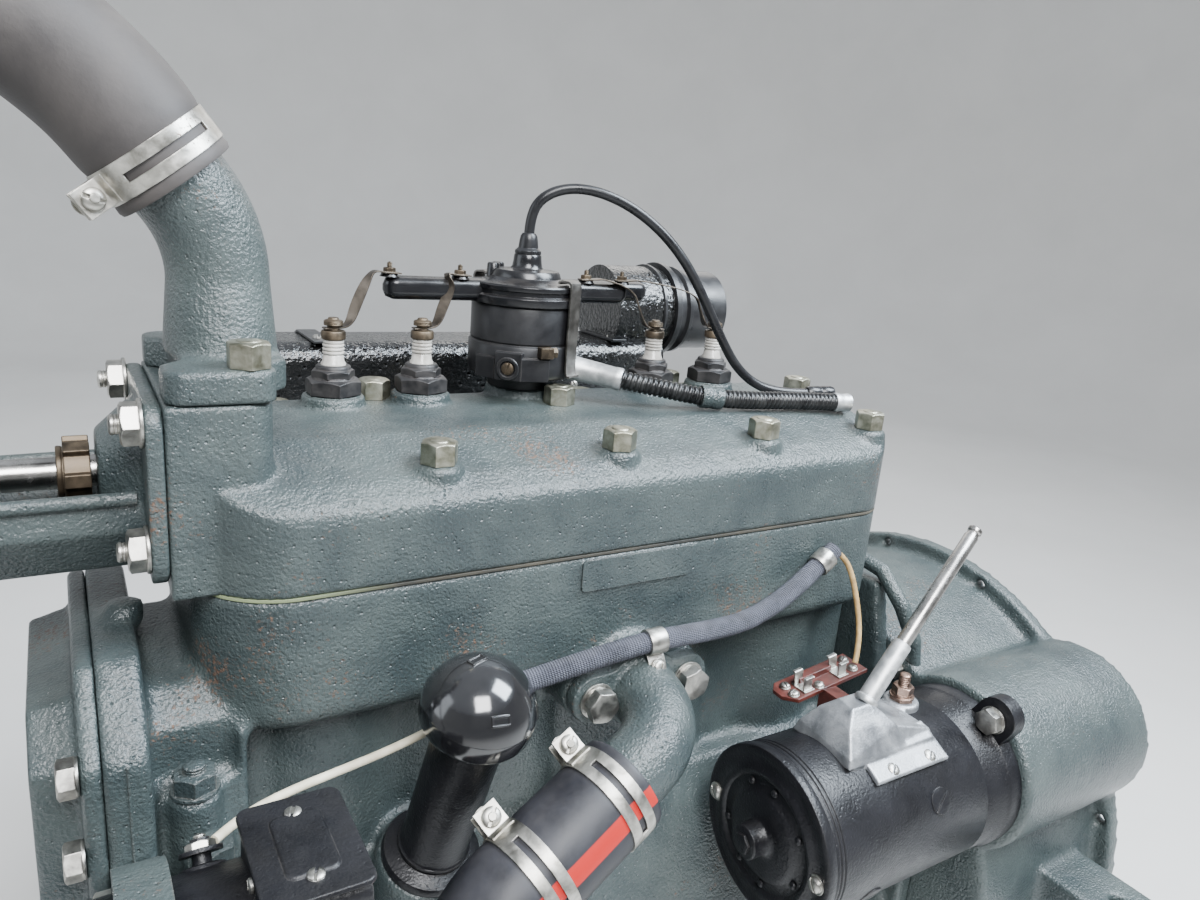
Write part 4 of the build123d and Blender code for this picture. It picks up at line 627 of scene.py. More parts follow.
# Finishes: low and high colour, roughness range, mottle scale and grain as (scale, waves, pits,
# depth in mm), then what only some have: wear as (radius in mm, amount, colour), rust as
# (scale, cover), dust as (amount, colour), metal, coat and shine
FINISHES = {
    "engine_paint": ((0.024, 0.034, 0.036), (0.052, 0.067, 0.065), (0.27, 0.4), 17,
        (560, 0.8, 0.6, 1.0), dict(wear=(1.4, 0.5, (0.1, 0.085, 0.07)), rust=(420, 0.37),
        dust=(0.14, (0.12, 0.115, 0.1)), coat=0.12)),
    "bright_plate": ((0.28, 0.27, 0.25), (0.56, 0.545, 0.5), (0.3, 0.46), 160,
        (1500, 0.5, 0.1, 0.006), dict(metal=1.0, rust=(700, 0.16))),
    "zinc_nuts": ((0.2, 0.195, 0.14), (0.47, 0.46, 0.38), (0.3, 0.48), 120,
        (1300, 0.6, 0.2, 0.012), dict(metal=1.0, rust=(600, 0.22),
        dust=(0.25, (0.22, 0.19, 0.1)))),
    "gasket_metal": ((0.01, 0.012, 0.012), (0.06, 0.052, 0.036), (0.5, 0.7), 20,
        (900, 0.4, 0.1, 0.03), {}),
    "rusty_hex": ((0.012, 0.012, 0.013), (0.044, 0.041, 0.04), (0.36, 0.6), 110,
        (1400, 0.8, 0.4, 0.03), dict(metal=0.35, wear=(0.7, 0.5, (0.16, 0.13, 0.12)),
        rust=(500, 0.33))),
    "porcelain": ((0.3, 0.28, 0.25), (0.52, 0.5, 0.46), (0.14, 0.28), 90, (800, 0.3, 0.05, 0.01),
        dict(dust=(0.4, (0.26, 0.22, 0.17)), coat=0.3)),
    "bakelite_body": ((0.005, 0.005, 0.006), (0.016, 0.016, 0.017), (0.3, 0.46), 45,
        (900, 0.6, 0.2, 0.04), dict(wear=(0.9, 0.35, (0.1, 0.09, 0.08)),
        dust=(0.16, (0.09, 0.08, 0.07)), shine=0.3)),
    "bakelite_cap": ((0.004, 0.004, 0.005), (0.01, 0.01, 0.011), (0.16, 0.3), 60,
        (700, 0.4, 0.05, 0.015), dict(wear=(0.9, 0.2, (0.09, 0.08, 0.07)),
        dust=(0.14, (0.12, 0.1, 0.08)), shine=0.4)),
    "clip_steel": ((0.07, 0.065, 0.06), (0.19, 0.18, 0.165), (0.36, 0.52), 80,
        (900, 0.4, 0.2, 0.02), dict(metal=1.0, rust=(600, 0.25))),
    "strap_bronze": ((0.055, 0.045, 0.036), (0.155, 0.13, 0.105), (0.34, 0.5), 90,
        (900, 0.4, 0.2, 0.01), dict(metal=0.9, rust=(600, 0.2))),
    "hose_rubber": ((0.038, 0.034, 0.033), (0.074, 0.066, 0.062), (0.56, 0.72), 22,
        (500, 1.0, 0.2, 0.1), dict(dust=(0.25, (0.12, 0.105, 0.085)), shine=0.4)),
    "lower_rubber": ((0.009, 0.009, 0.012), (0.024, 0.024, 0.029), (0.4, 0.55), 40,
        (600, 0.6, 0.1, 0.04), dict(dust=(0.15, (0.12, 0.11, 0.1)), shine=0.35)),
    "belt_rubber": ((0.01, 0.01, 0.01), (0.03, 0.029, 0.028), (0.6, 0.8), 70,
        (900, 0.8, 0.3, 0.06), dict(wear=(1.0, 0.5, (0.08, 0.08, 0.075)))),
    "clamp_zinc": ((0.27, 0.26, 0.23), (0.62, 0.6, 0.55), (0.3, 0.46), 110,
        (1100, 0.4, 0.1, 0.008), dict(metal=1.0, rust=(420, 0.31),
        dust=(0.3, (0.17, 0.14, 0.1)))),
    "dirty_bronze": ((0.036, 0.028, 0.02), (0.125, 0.095, 0.064), (0.36, 0.56), 90,
        (900, 0.8, 0.4, 0.03), dict(metal=0.8, wear=(0.9, 0.6, (0.26, 0.21, 0.15)))),
    "bare_steel": ((0.26, 0.25, 0.235), (0.52, 0.5, 0.48), (0.2, 0.36), 50,
        (1200, 0.3, 0.1, 0.006), dict(metal=1.0, rust=(500, 0.22))),
    "black_enamel": ((0.003, 0.003, 0.004), (0.008, 0.008, 0.01), (0.3, 0.44), 30,
        (620, 1.0, 0.6, 0.34), dict(wear=(0.9, 0.3, (0.12, 0.11, 0.1)),
        dust=(0.08, (0.07, 0.065, 0.06)), shine=0.32)),
    "black_iron": ((0.012, 0.011, 0.011), (0.04, 0.036, 0.032), (0.42, 0.64), 40,
        (520, 1.2, 0.5, 0.35), dict(metal=0.2, wear=(1.2, 0.4, (0.13, 0.115, 0.1)),
        rust=(320, 0.3))),
    "crinkle_black": ((0.004, 0.004, 0.004), (0.01, 0.01, 0.01), (0.1, 0.2), 60,
        (300, 0.6, 2.6, 1.3), dict(coat=0.3)),
    "duct_black": ((0.007, 0.007, 0.008), (0.02, 0.02, 0.021), (0.26, 0.42), 60,
        (800, 0.6, 0.1, 0.03), dict(wear=(0.8, 0.3, (0.1, 0.1, 0.1)))),
    "cast_alloy": ((0.22, 0.23, 0.245), (0.42, 0.43, 0.445), (0.34, 0.52), 60,
        (700, 1.0, 0.4, 0.16), dict(metal=0.8, wear=(0.9, 0.5, (0.62, 0.62, 0.62)),
        dust=(0.25, (0.16, 0.145, 0.12)))),
    "alloy_sleeve": ((0.36, 0.37, 0.37), (0.6, 0.6, 0.6), (0.38, 0.54), 120,
        (1500, 0.4, 0.1, 0.012), dict(metal=0.85)),
    "copper": ((0.14, 0.09, 0.07), (0.36, 0.25, 0.2), (0.28, 0.46), 150, (1400, 0.4, 0.2, 0.01),
        dict(metal=1.0, rust=(600, 0.2))),
    "red_fibre": ((0.034, 0.008, 0.006), (0.092, 0.019, 0.013), (0.34, 0.5), 120,
        (1500, 0.5, 0.2, 0.012), dict(dust=(0.25, (0.09, 0.055, 0.045)))),
    "lead_rubber": ((0.005, 0.005, 0.006), (0.013, 0.013, 0.014), (0.24, 0.38), 60,
        (900, 0.5, 0.1, 0.02), dict(dust=(0.12, (0.08, 0.075, 0.07)), shine=0.35)),
    "spiral_steel": ((0.016, 0.016, 0.017), (0.05, 0.05, 0.05), (0.24, 0.4), 90,
        (900, 0.4, 0.1, 0.02), dict(metal=0.7, wear=(0.5, 0.6, (0.5, 0.5, 0.48)))),
    "braid": ((0.028, 0.03, 0.04), (0.082, 0.087, 0.11), (0.56, 0.74), 60,
        (900, 0.4, 0.1, 0.03), dict(dust=(0.15, (0.15, 0.14, 0.12)))),
    "cream_wire": ((0.5, 0.45, 0.33), (0.68, 0.63, 0.49), (0.5, 0.64), 120,
        (1400, 0.4, 0.1, 0.03), dict(dust=(0.3, (0.3, 0.26, 0.18)))),
    "gloss_cap": ((0.004, 0.004, 0.005), (0.009, 0.009, 0.01), (0.07, 0.16), 30,
        (260, 1.0, 0.1, 0.03), dict(wear=(0.9, 0.2, (0.12, 0.11, 0.1)),
        dust=(0.1, (0.08, 0.075, 0.07)), coat=0.7)),
    "tan_wire": ((0.26, 0.16, 0.06), (0.44, 0.3, 0.13), (0.5, 0.64), 120, (1400, 0.4, 0.1, 0.03),
        dict(dust=(0.3, (0.16, 0.12, 0.08)))),
}


def material(name):
    """The named finish, built once from its row in FINISHES."""
    found = bpy.data.materials.get(name + "_finish")
    if found:
        return found
    low, high, rough, scale, grain, more = FINISHES[name]
    found = bpy.data.materials.new(name + "_finish")
    found.use_nodes = True
    tree = found.node_tree
    shader = tree.nodes["Principled BSDF"].inputs
    place = add_node(tree, "TexCoord").outputs["Object"]
    mottle = effect(tree, "Mottle", place, Low=low, High=high, Scale=float(scale))
    colour = mottle["Color"]
    roughness = ranged(tree, mottle["Mask"], 0.0, 1.0, *rough)
    metal = more.get("metal", 0.0)
    if name in SPECIALS:
        colour = SPECIALS[name](tree, place, colour)

    def cover(mask, over, over_rough):
        """The finish so far with a second colour and roughness laid over it by a mask."""
        mixed = add_node(tree, "Mix", {0: mask, 2: roughness, 3: over_rough}, data_type="FLOAT")
        return blend(tree, mask, colour, over), mixed.outputs[0]

    if "wear" in more:
        radius, amount, edge = more["wear"]
        wear = effect(tree, "Edge Wear", place, Radius=radius * MM, Amount=amount)
        colour, roughness = cover(wear["Mask"], edge, 0.45)
    if "rust" in more:
        size, share = more["rust"]
        rust = effect(tree, "Rust Specks", place, Scale=float(size), Cover=share)
        colour, roughness = cover(rust["Mask"], rust["Color"], 0.85)
        if metal > 0.5:
            metal = ranged(tree, rust["Mask"], 0.0, 1.0, metal, 0.1)
    if "dust" in more:
        amount, tone = more["dust"]
        dust = effect(tree, "Settled Dust", place, Amount=amount)
        colour, roughness = cover(dust["Mask"], tone, 0.8)
    feed(tree, shader["Base Color"], colour)
    feed(tree, shader["Roughness"], roughness)
    feed(tree, shader["Metallic"], metal)
    shader["Coat Weight"].default_value = more.get("coat", 0.0)
    shader["Specular IOR Level"].default_value = more.get("shine", 0.5)
    shader["Coat Roughness"].default_value = 0.12
    size, waves, pits, depth = grain
    height = effect(tree, "Cast Grain", place, Scale=float(size), Waves=waves, Pits=pits)["Height"]
    soft = add_node(tree, "Bevel", {"Radius": 0.0006}, samples=4).outputs["Normal"]
    normal = raised(tree, height, depth * MM, soft)
    threads = tree.nodes.get("Threads")
    if threads:
        normal = raised(tree, threads.outputs[0], 0.0004, normal)
    feed(tree, shader["Normal"], normal)
    feed(tree, shader["Coat Normal"], normal)
    return found


def braid_weave_shading(tree, place, colour):
    """Painted shade in the hollows and painted highlight on the crowns of the threads that cross on
    a braided jacket, from its UV map.
    """
    uv = add_node(tree, "UVMap", uv_map="UVMap").outputs["UV"]
    around = calc(tree, "MULTIPLY", part_of(tree, uv, "X"), 2 * math.pi * BRAID_THREADS)
    along = calc(tree, "MULTIPLY", part_of(tree, uv, "Y"), 2 * math.pi / BRAID_PITCH)
    waves = [calc(tree, "SINE", calc(tree, lay, along, around)) for lay in ("ADD", "SUBTRACT")]
    cross = calc(tree, "MULTIPLY", *waves)
    cross.node.name = "Threads"
    # Painted shade and highlight: the colour is darker where the threads' height dips and brighter
    # than the braid's own colour on their crowns
    tone = ramp(tree, ranged(tree, cross, -0.7, 0.7), (0.35, 0.35, 0.36), (1.5, 1.5, 1.55))
    return blend(tree, 1.0, colour, tone, blend_type="MULTIPLY")


def stripe_colour(tree, place, colour):
    """A red stripe moulded along the lower hose, at one angle round its axis."""
    front, side, _ = basis(LOW_HOSE_DIR, STRIPE_SIDE)
    offset = vector_calc(tree, "SUBTRACT", place, LOW_HOSE_START * MM, "Vector")
    ahead, aside = (vector_calc(tree, "DOT_PRODUCT", offset, d, "Value") for d in (front, side))
    near = ranged(tree, calc(tree, "ABSOLUTE", aside), 0.0056, 0.0050)
    both = calc(tree, "MULTIPLY", near, calc(tree, "GREATER_THAN", ahead, 0.0))
    return blend(tree, both, colour, (0.36, 0.012, 0.009))


def gasket_colour(tree, place, colour):
    """The gasket's own yellow-green shows at its front; paint has run over the rest."""
    front = ranged(tree, part_of(tree, place, "X"), -0.560, -0.630)
    return blend(tree, front, colour, (0.20, 0.24, 0.13))


SPECIALS = {"braid": braid_weave_shading, "lower_rubber": stripe_colour, "gasket_metal": gasket_colour}
BRAID_THREADS = 19
BRAID_PITCH = 0.0033

# Lower hose's line, which its stripe and clamps follow
LOW_HOSE_DIR = Vector((-0.8980, -0.2033, -0.3897)).normalized()
LOW_HOSE_START = Vector((-450.8, -145.6, 189.0))
STRIPE_SIDE = Vector((0.066, -0.938, 0.338))


def keep_nodes():
    """Gives every CAD node that is still shown the finish of its slot."""
    for part in frame["record"]["subparts"]:
        node = frame["nodes"][part["node"]]
        if not node.hide_render:
            for place in node.material_slots:
                place.material = material(part["material_slot"])


# Settings that a user may change in the sidebar

def distance(label, text, default):
    """A setting for a length in metres."""
    return FloatProperty(name=label, description=text, default=default, subtype="DISTANCE",
                         unit="LENGTH")


def angle(label, text, degrees):
    """A setting for an angle."""
    return FloatProperty(name=label, description=text, default=math.radians(degrees),
                         subtype="ANGLE", unit="ROTATION")


def power(label, text, watts):
    """A setting for a light's power."""
    return FloatProperty(name=label, description=text, default=watts, unit="POWER")


def tint(label, text, colour):
    """A setting for a colour."""
    return FloatVectorProperty(name=label, description=text, default=colour, subtype="COLOR",
                               min=0.0, max=1.0)


class ViewSettings(PropertyGroup):
    """Where the camera stands and how soft the studio is."""

    place: FloatVectorProperty(name="Camera Place", description="Where the camera stands",
                               default=(-0.701406, -0.486719, 0.495283), subtype="TRANSLATION",
                               unit="LENGTH")
    yaw: angle("Yaw", "Turn from the engine's right-hand side to its rear", 32.3505)
    pitch: angle("Pitch", "Tilt below the horizon", 15.4623)
    roll: angle("Roll", "Turn about the line of sight", -4.9359)
    lens: FloatProperty(name="Lens", default=26.3, min=5.0,
                        description="Focal length on a 36 mm wide sensor, in millimetres")
    key_power: power("Key Light", "Power of the large soft light", 96.0)
    top_power: power("Top Light", "Power of the light that the shoulder mirrors", 72.0)
    fill_power: power("Fill Light", "Power of the light from the front", 15.0)
    rim_power: power("Rear Light", "Power of the light from the right", 16.0)
    sky: tint("Studio Sky", "Colour of the light all round", (0.78, 0.84, 0.92))
    sky_strength: FloatProperty(name="Sky Strength", description="Strength of the light all round",
                                default=1.08, min=0.0)
    floor: tint("Floor", "Colour of the studio floor", (0.62, 0.61, 0.59))


class CordSettings(PropertyGroup):
    """Sizes of the leads."""

    loom_radius: distance("Loom Radius", "Half the braided loom's thickness", 0.0065)
    lead_radius: distance("Lead Radius", "Half the ignition lead's thickness", 0.0035)
    conduit_radius: distance("Conduit Radius", "Half the conduit's thickness", 0.0065)
    conduit_pitch: distance("Conduit Pitch", "Distance between its coils", 0.0036)


class CastingSettings(PropertyGroup):
    """How finely the castings are drawn."""

    coarse: distance("Large Castings", "Grid of the block and housing", 0.0030)
    fine: distance("Small Castings", "Grid of the head and fittings", 0.0018)
    rounds: IntProperty(name="Softening", description="How often the castings' edges are softened",
                        default=4, min=0, max=20)


SETTINGS = {"engine_view": ViewSettings, "engine_cords": CordSettings,
            "engine_castings": CastingSettings}


# Stage

LIGHTS = (("key_light", (-0.75, -1.35, 1.75), 0.9, "key_power", (0.97, 0.98, 1.0)),
          ("top_light", (0.30, -0.50, 1.35), 0.7, "top_power", (0.80, 0.90, 1.0)),
          ("fill_light", (-2.2, 0.4, 1.0), 1.2, "fill_power", (0.85, 0.92, 1.0)),
          ("rear_light", (1.0, 1.8, 1.7), 1.4, "rim_power", (1.0, 0.97, 0.92)))


class ENGINE_OT_stage(Operator):
    """Adds the floor, the soft lights and the camera."""

    bl_idname = "engine.stage"
    bl_label = "Stage"

    def execute(self, context):
        view = context.scene.engine_view
        low, high = cad_bounds
        middle = (low + high) / 2
        profile = [(0, 0), (1800, 0), (3200, 0)]
        profile += [(3200 + 1200 * math.sin(a), 1200 * (1 - math.cos(a)))
                    for a in (math.pi / 2 * i / 10 for i in range(1, 11))] + [(4400, 3000)]
        form = Form().lathe(profile, (middle.x / MM, middle.y / MM, low.z / MM - 0.4), UP, 96)
        floor = bpy.data.objects.new("floor", form.mesh("floor"))
        floor.data.shade_smooth()
        floor.data.materials.append(floor_material(view))
        context.scene.collection.objects.link(floor)
        world = bpy.data.worlds.new("studio")
        world.use_nodes = True
        tree = world.node_tree
        height = part_of(tree, add_node(tree, "TexCoord").outputs["Generated"], "Z")
        back = tree.nodes["Background"].inputs
        feed(tree, back["Color"], blend(tree, ranged(tree, height, 0.05, 0.75, 0.22, 1.0),
                                        (0.05, 0.05, 0.05), tuple(view.sky)))
        back["Strength"].default_value = view.sky_strength
        context.scene.world = world
        for name, place, size, setting, colour in LIGHTS:
            lamp = bpy.data.lights.new(name, "AREA")
            lamp.size = size
            lamp.energy = getattr(view, setting)
            lamp.color = colour
            light = bpy.data.objects.new(name, lamp)
            light.location = place
            light.rotation_euler = (middle - Vector(place)).to_track_quat("-Z", "Y").to_euler()
            context.scene.collection.objects.link(light)
        camera = bpy.data.cameras.new("camera")
        camera.lens = view.lens
        camera.sensor_width = 36.0
        camera.clip_start = 0.01
        holder = bpy.data.objects.new("camera", camera)
        sy, cy = math.sin(view.yaw), math.cos(view.yaw)
        sp, cp = math.sin(view.pitch), math.cos(view.pitch)
        forward = Vector((sy * cp, cy * cp, -sp))
        level = Vector((cy, -sy, 0))
        down = forward.cross(level)
        right = level * math.cos(view.roll) + down * math.sin(view.roll)
        below = down * math.cos(view.roll) - level * math.sin(view.roll)
        turn = Matrix((right, -below, -forward)).transposed()
        holder.matrix_world = Matrix.Translation(Vector(view.place)) @ turn.to_4x4()
        context.scene.collection.objects.link(holder)
        context.scene.camera = holder
        return {"FINISHED"}


def floor_material(view):
    """A pale studio floor with a faint unevenness."""
    found = bpy.data.materials.new("studio_floor")
    found.use_nodes = True
    tree = found.node_tree
    shader = tree.nodes["Principled BSDF"].inputs
    place = add_node(tree, "TexCoord").outputs["Object"]
    mottle = effect(tree, "Mottle", place, Low=tuple(c * 0.94 for c in view.floor),
                    High=tuple(view.floor), Scale=3.0)
    feed(tree, shader["Base Color"], mottle["Color"])
    shader["Roughness"].default_value = 0.75
    return found


# Cords: the routes repeat the part's, in metres

LOOM_ROUTE = [(-0.507, -0.088, 0.225), (-0.475, -0.092, 0.232), (-0.441, -0.098, 0.240),
    (-0.407, -0.101, 0.245), (-0.371, -0.1015, 0.2435), (-0.333, -0.099, 0.242),
    (-0.297, -0.093, 0.249), (-0.267, -0.087, 0.261), (-0.243, -0.0842, 0.275)]
GENERATOR_WIRE_ROUTE = [(-0.507, -0.088, 0.225), (-0.525, -0.088, 0.2175),
    (-0.543, -0.0885, 0.2115), (-0.569, -0.092, 0.2075), (-0.597, -0.099, 0.208),
    (-0.622, -0.107, 0.210), (-0.645, -0.117, 0.211), (-0.659, -0.13006, 0.21204)]
FUSE_WIRE_ROUTE = [(-0.243, -0.0842, 0.275), (-0.234, -0.086, 0.269), (-0.2285, -0.0905, 0.258),
    (-0.227, -0.097, 0.242), (-0.2275, -0.104, 0.225), (-0.231, -0.110, 0.209),
    (-0.236, -0.1135, 0.199)]
CONDUIT_ROUTE = [(-0.371, 0.014, 0.381), (-0.348, -0.0025, 0.3775), (-0.321, -0.015, 0.3735),
    (-0.292, -0.022, 0.3716), (-0.262, -0.0255, 0.371), (-0.234, -0.0285, 0.3702),
    (-0.210, -0.033, 0.3692)]
LEAD_ROUTE = [(-0.428, 0.057, 0.471), (-0.428, 0.057, 0.486), (-0.4205, 0.0545, 0.499),
    (-0.404, 0.0495, 0.506), (-0.383, 0.043, 0.505), (-0.359, 0.036, 0.496),
    (-0.336, 0.029, 0.480), (-0.317, 0.023, 0.459), (-0.301, 0.019, 0.434), (-0.286, 0.016, 0.409),
    (-0.270, 0.013, 0.387), (-0.251, 0.008, 0.3735), (-0.230, 0.001, 0.3695),
    (-0.211, -0.0045, 0.370)]


class ENGINE_OT_cords(Operator):
    """Lays the ignition lead, the spiral conduit, the braided loom and its wires."""

    bl_idname = "engine.cords"
    bl_label = "Cords"

    def execute(self, context):
        sizes = context.scene.engine_cords
        curve = bpy.data.curves.new("ignition_lead_run", "CURVE")
        fill_spline(curve, LEAD_ROUTE)
        curve.bevel_depth = sizes.lead_radius
        curve.bevel_resolution = 6
        curve.use_fill_caps = True
        lead = settle(bpy.data.objects.new("ignition_lead_run", curve), "lead_rubber",
                      ("ignition_lead",))
        boots = Form()
        tip, before = [Vector(p) / MM for p in (LEAD_ROUTE[-1], LEAD_ROUTE[-2])]
        end_dir = (tip - before).normalized()
        foot = Vector(LEAD_ROUTE[0]) / MM
        boots.lathe([(8.7, -10.5), (9, -9.6), (8.8, -8.2), (6.8, -6.4), (6.2, -1.5), (5.6, 1.5),
            (4.4, 3.2), (3.3, 3.4), (3.3, 0), (0, 0)], foot, UP, 40)
        boots.lathe([(3.3, 1), (3.3, -1), (4.6, -0.8), (5.5, 1.2), (5.5, 9), (5.1, 9.6), (5.1, 11),
            (5.5, 11.6), (5.5, 19), (4.6, 21.6), (2.4, 22), (2.2, 19), (0, 19)], tip, end_dir, 40)
        boot = boots.done("lead_boot_pair", "lead_rubber", ("lead_boots",))

        pitch = sizes.conduit_pitch / MM
        outer = sizes.conduit_radius / MM
        run = even_points(smooth_route(CONDUIT_ROUTE), pitch / 6)

        def armour(distance, angle):
            wave = math.cos(2 * math.pi * distance / pitch - angle)
            return outer - 1.15 * max(0, -wave) ** 0.7

        spiral = Form().sweep(run, armour, up=UP).done("conduit_armour", "spiral_steel",
            ("conduit",), angle=60)
        ferrule_foot = at(184, 41, 91)
        neck = Vector(CONDUIT_ROUTE[0]) / MM
        out = (neck - ferrule_foot).normalized()
        length = (neck - ferrule_foot).length
        far = Vector(CONDUIT_ROUTE[-1]) / MM
        far_dir = (far - Vector(CONDUIT_ROUTE[-2]) / MM).normalized()
        ends = Form()
        ends.lathe([(6.5, 0.5), (8.6, 0.5), (9, 2), (9, 5), (8.5, 6), (8, 22), (7.6, length - 6),
            (7.9, length - 5), (7.9, length - 0.8), (7.3, length), (6.6, length),
            (6.4, length - 3), (0, length - 3)], ferrule_foot, out, 40)
        ends.lathe([(6, -2), (6.9, -2), (7, -1), (7, 2), (6.6, 3), (6.6, 8), (7, 9), (7, 11.3),
            (6.2, 12), (5, 12), (4.6, 8), (0, 8)], far, far_dir, 40)
        sleeve = ends.done("conduit_sleeves", "alloy_sleeve", ("conduit_ferrules",))

        loom_run = even_points(smooth_route(LOOM_ROUTE), 2)
        radius = sizes.loom_radius / MM
        Form().sweep(loom_run, radius, up=UP).done("loom_jacket", "braid", ("loom",))
        for name, route, size, finish, node in (
                ("generator_lead", GENERATOR_WIRE_ROUTE, 2.25, "cream_wire", "generator_wire"),
                ("fuse_lead", FUSE_WIRE_ROUTE, 2, "tan_wire", "fuse_wire")):
            run = even_points(smooth_route(route), 2)
            Form().sweep(run, size, up=UP).done(name, finish, (node,))
        return {"FINISHED"}


# Castings

class ENGINE_OT_castings(Operator):
    """Gives the block, head, housing and cast fittings their soft cast edges."""

    bl_idname = "engine.castings"
    bl_label = "Castings"

    def execute(self, context):
        sizes = context.scene.engine_castings
        coarse, fine, rounds = sizes.coarse / MM, sizes.fine / MM, sizes.rounds
        casting("block_casting", "cylinder_block", coarse, rounds,
                lambda p: abs(p.z - DECK_Z) < 4.5, 0.55)
        seats = Form()
        for x, y, z in HEAD_NUTS[:4]:
            seats.lathe([(0, -12), (13.6, -11), (13.2, -4), (12.4, -1.2), (11.4, 0), (0, 0)],
                (x, y, z), UP, 48)
        casting("head_casting", "cylinder_head", fine, rounds + 2,
                lambda p: p.z < DECK_Z + 5.5, 0.6, seats)

        def ears(p):
            """Brings the outlet flange's ears forward, flush with the head below them."""
            return p + FORE * (10 * held((410.5 - p.z) / 2) * held((abs(p.y) - 27) / 12))

        casting("outlet_casting", "water_outlet", fine, rounds, shape=ears)
        casting("pump_casting", "water_pump_body", fine * 0.9, rounds)
        casting("elbow_casting", "water_inlet_elbow", fine * 0.8, rounds + 2)
        casting("housing_casting", "flywheel_housing", coarse, rounds, share=0.5)
        casting("cover_casting", "timing_cover", fine * 1.2, rounds, share=0.6)
        return {"FINISHED"}


# Fasteners

HEAD_NUTS = ([(x, -56, 354.5) for x in (-531, -415, -299, -196.5)]
             + [(-415, 23, 364), (-196.5, 23, 364), (-531, 62, 364),
                (-299, 62, 364)]
             + [(x, 101, 343) for x in (-585, -477, -353, -245)]
             + [(-626, -50, 408), (-626, 50, 408)])
PUMP_NUTS = [(-672.6, y, z) for y in (-50, 50) for z in (383, 321)]
COVER_BOLTS = [(-88.3, 232), (-90.8, 190), (-97.5, 120), (-110.9, 40), (104.9, 190), (106.5, 120),
    (113.9, 40)]
LEDGE_NUTS = [(-660.5, -78, 203), (-656.5, -101.5, 178)]
STARTER_LUGS = [(-118, 60.3), (-182, 175.7)]


class ENGINE_OT_fasteners(Operator):
    """Adds the head's nuts, the plated bolts and the painted stud nuts."""

    bl_idname = "engine.fasteners"
    bl_label = "Nuts and Bolts"

    def execute(self, context):
        nuts = Form()
        for i, place in enumerate(HEAD_NUTS):
            seat = Vector(place)
            turn = about_z(i * 1.7)
            nuts.hexagon(seat, UP, 18.5, 12.4, turn)
            nuts.lathe([(5.8, 12.2), (5.4, 12.9), (4.6, 13.2), (0, 13.3)], seat, UP, 28)
        nuts.done("head_nut_set", "zinc_nuts", ("head_nuts",), bevel=0.35)

        bolts = Form()
        for i, place in enumerate(PUMP_NUTS):
            turn = about_x(i * 1.1)
            bolts.lathe([(0, 0), (11.2, 0), (11.6, 0.4), (11.6, 1.4), (11.2, 1.8), (0, 1.8)],
                place, FORE, 36)
            bolts.hexagon(Vector(place) + FORE * 1.8, FORE, 18.5, 7.6, turn)
            bolts.stud(Vector(place) + FORE * 9.2, FORE, 4.8, 4.5)
        for station in (142.25, 209.75):
            seat = at(station, -98, -84)
            bolts.lathe([(0, 0), (10.9, 0), (11.3, 0.3), (11.3, 1.5), (10.6, 1.7), (9.2, 1.8),
                (9.4, 2.1), (9.4, 3.4), (9, 3.7), (0, 3.7)], seat, LEFT, 40)
            bolts.hexagon(seat + LEFT * 3.6, LEFT, 18.5, 7.6, (math.cos(station), 0,
                math.sin(station)))
        for i, (y, z) in enumerate(COVER_BOLTS):
            turn = about_x(i * 2.1)
            bolts.lathe([(0, 0), (8.7, 0), (8.9, 0.3), (8.9, 1.2), (8.5, 1.5), (0, 1.5)],
                (-708.4, y, z), FORE, 32)
            bolts.hexagon((-709.8, y, z), FORE, 16, 7.4, turn)
        for i, (y, z) in enumerate(STARTER_LUGS):
            bolts.lathe([(0, 0), (9.2, 0), (9.6, 0.4), (9.6, 1.8), (0, 1.8)], (-167, y, z), FORE,
                32)
            bolts.hexagon((-168.8, y, z), FORE, 16, 7.2, about_x(i + 0.3))
        bolts.done("plated_bolt_set", "bright_plate", ("plated_bolts",), bevel=0.3)

        painted = Form()
        for i, place in enumerate(LEDGE_NUTS):
            seat = Vector(place)
            painted.lathe([(0, 0), (11.4, 0), (11.6, 0.8), (11.2, 1.8), (0, 1.8)], seat, UP, 32)
            painted.hexagon(seat + UP * 1.6, UP, 18.5, 9.4, about_z(i + 0.4))
            painted.stud(seat + UP * 10.9, UP, 5.2, 4)
        painted.done("painted_nut_pair", "engine_paint", ("painted_nuts",), bevel=0.5)
        return {"FINISHED"}


# Ignition

PLUG_XS = (-561, -505, -325, -269)
PLUG_Y = 46
PLUG_SEAT_Z = 371
DISTRIBUTOR = Vector((-428, 57, 0))
SCREW_OUT = about_z(math.radians(-129))
CLIP_OUT = about_z(math.radians(-94))
STRAP_STARTS = (-524, -477, -382, -352)


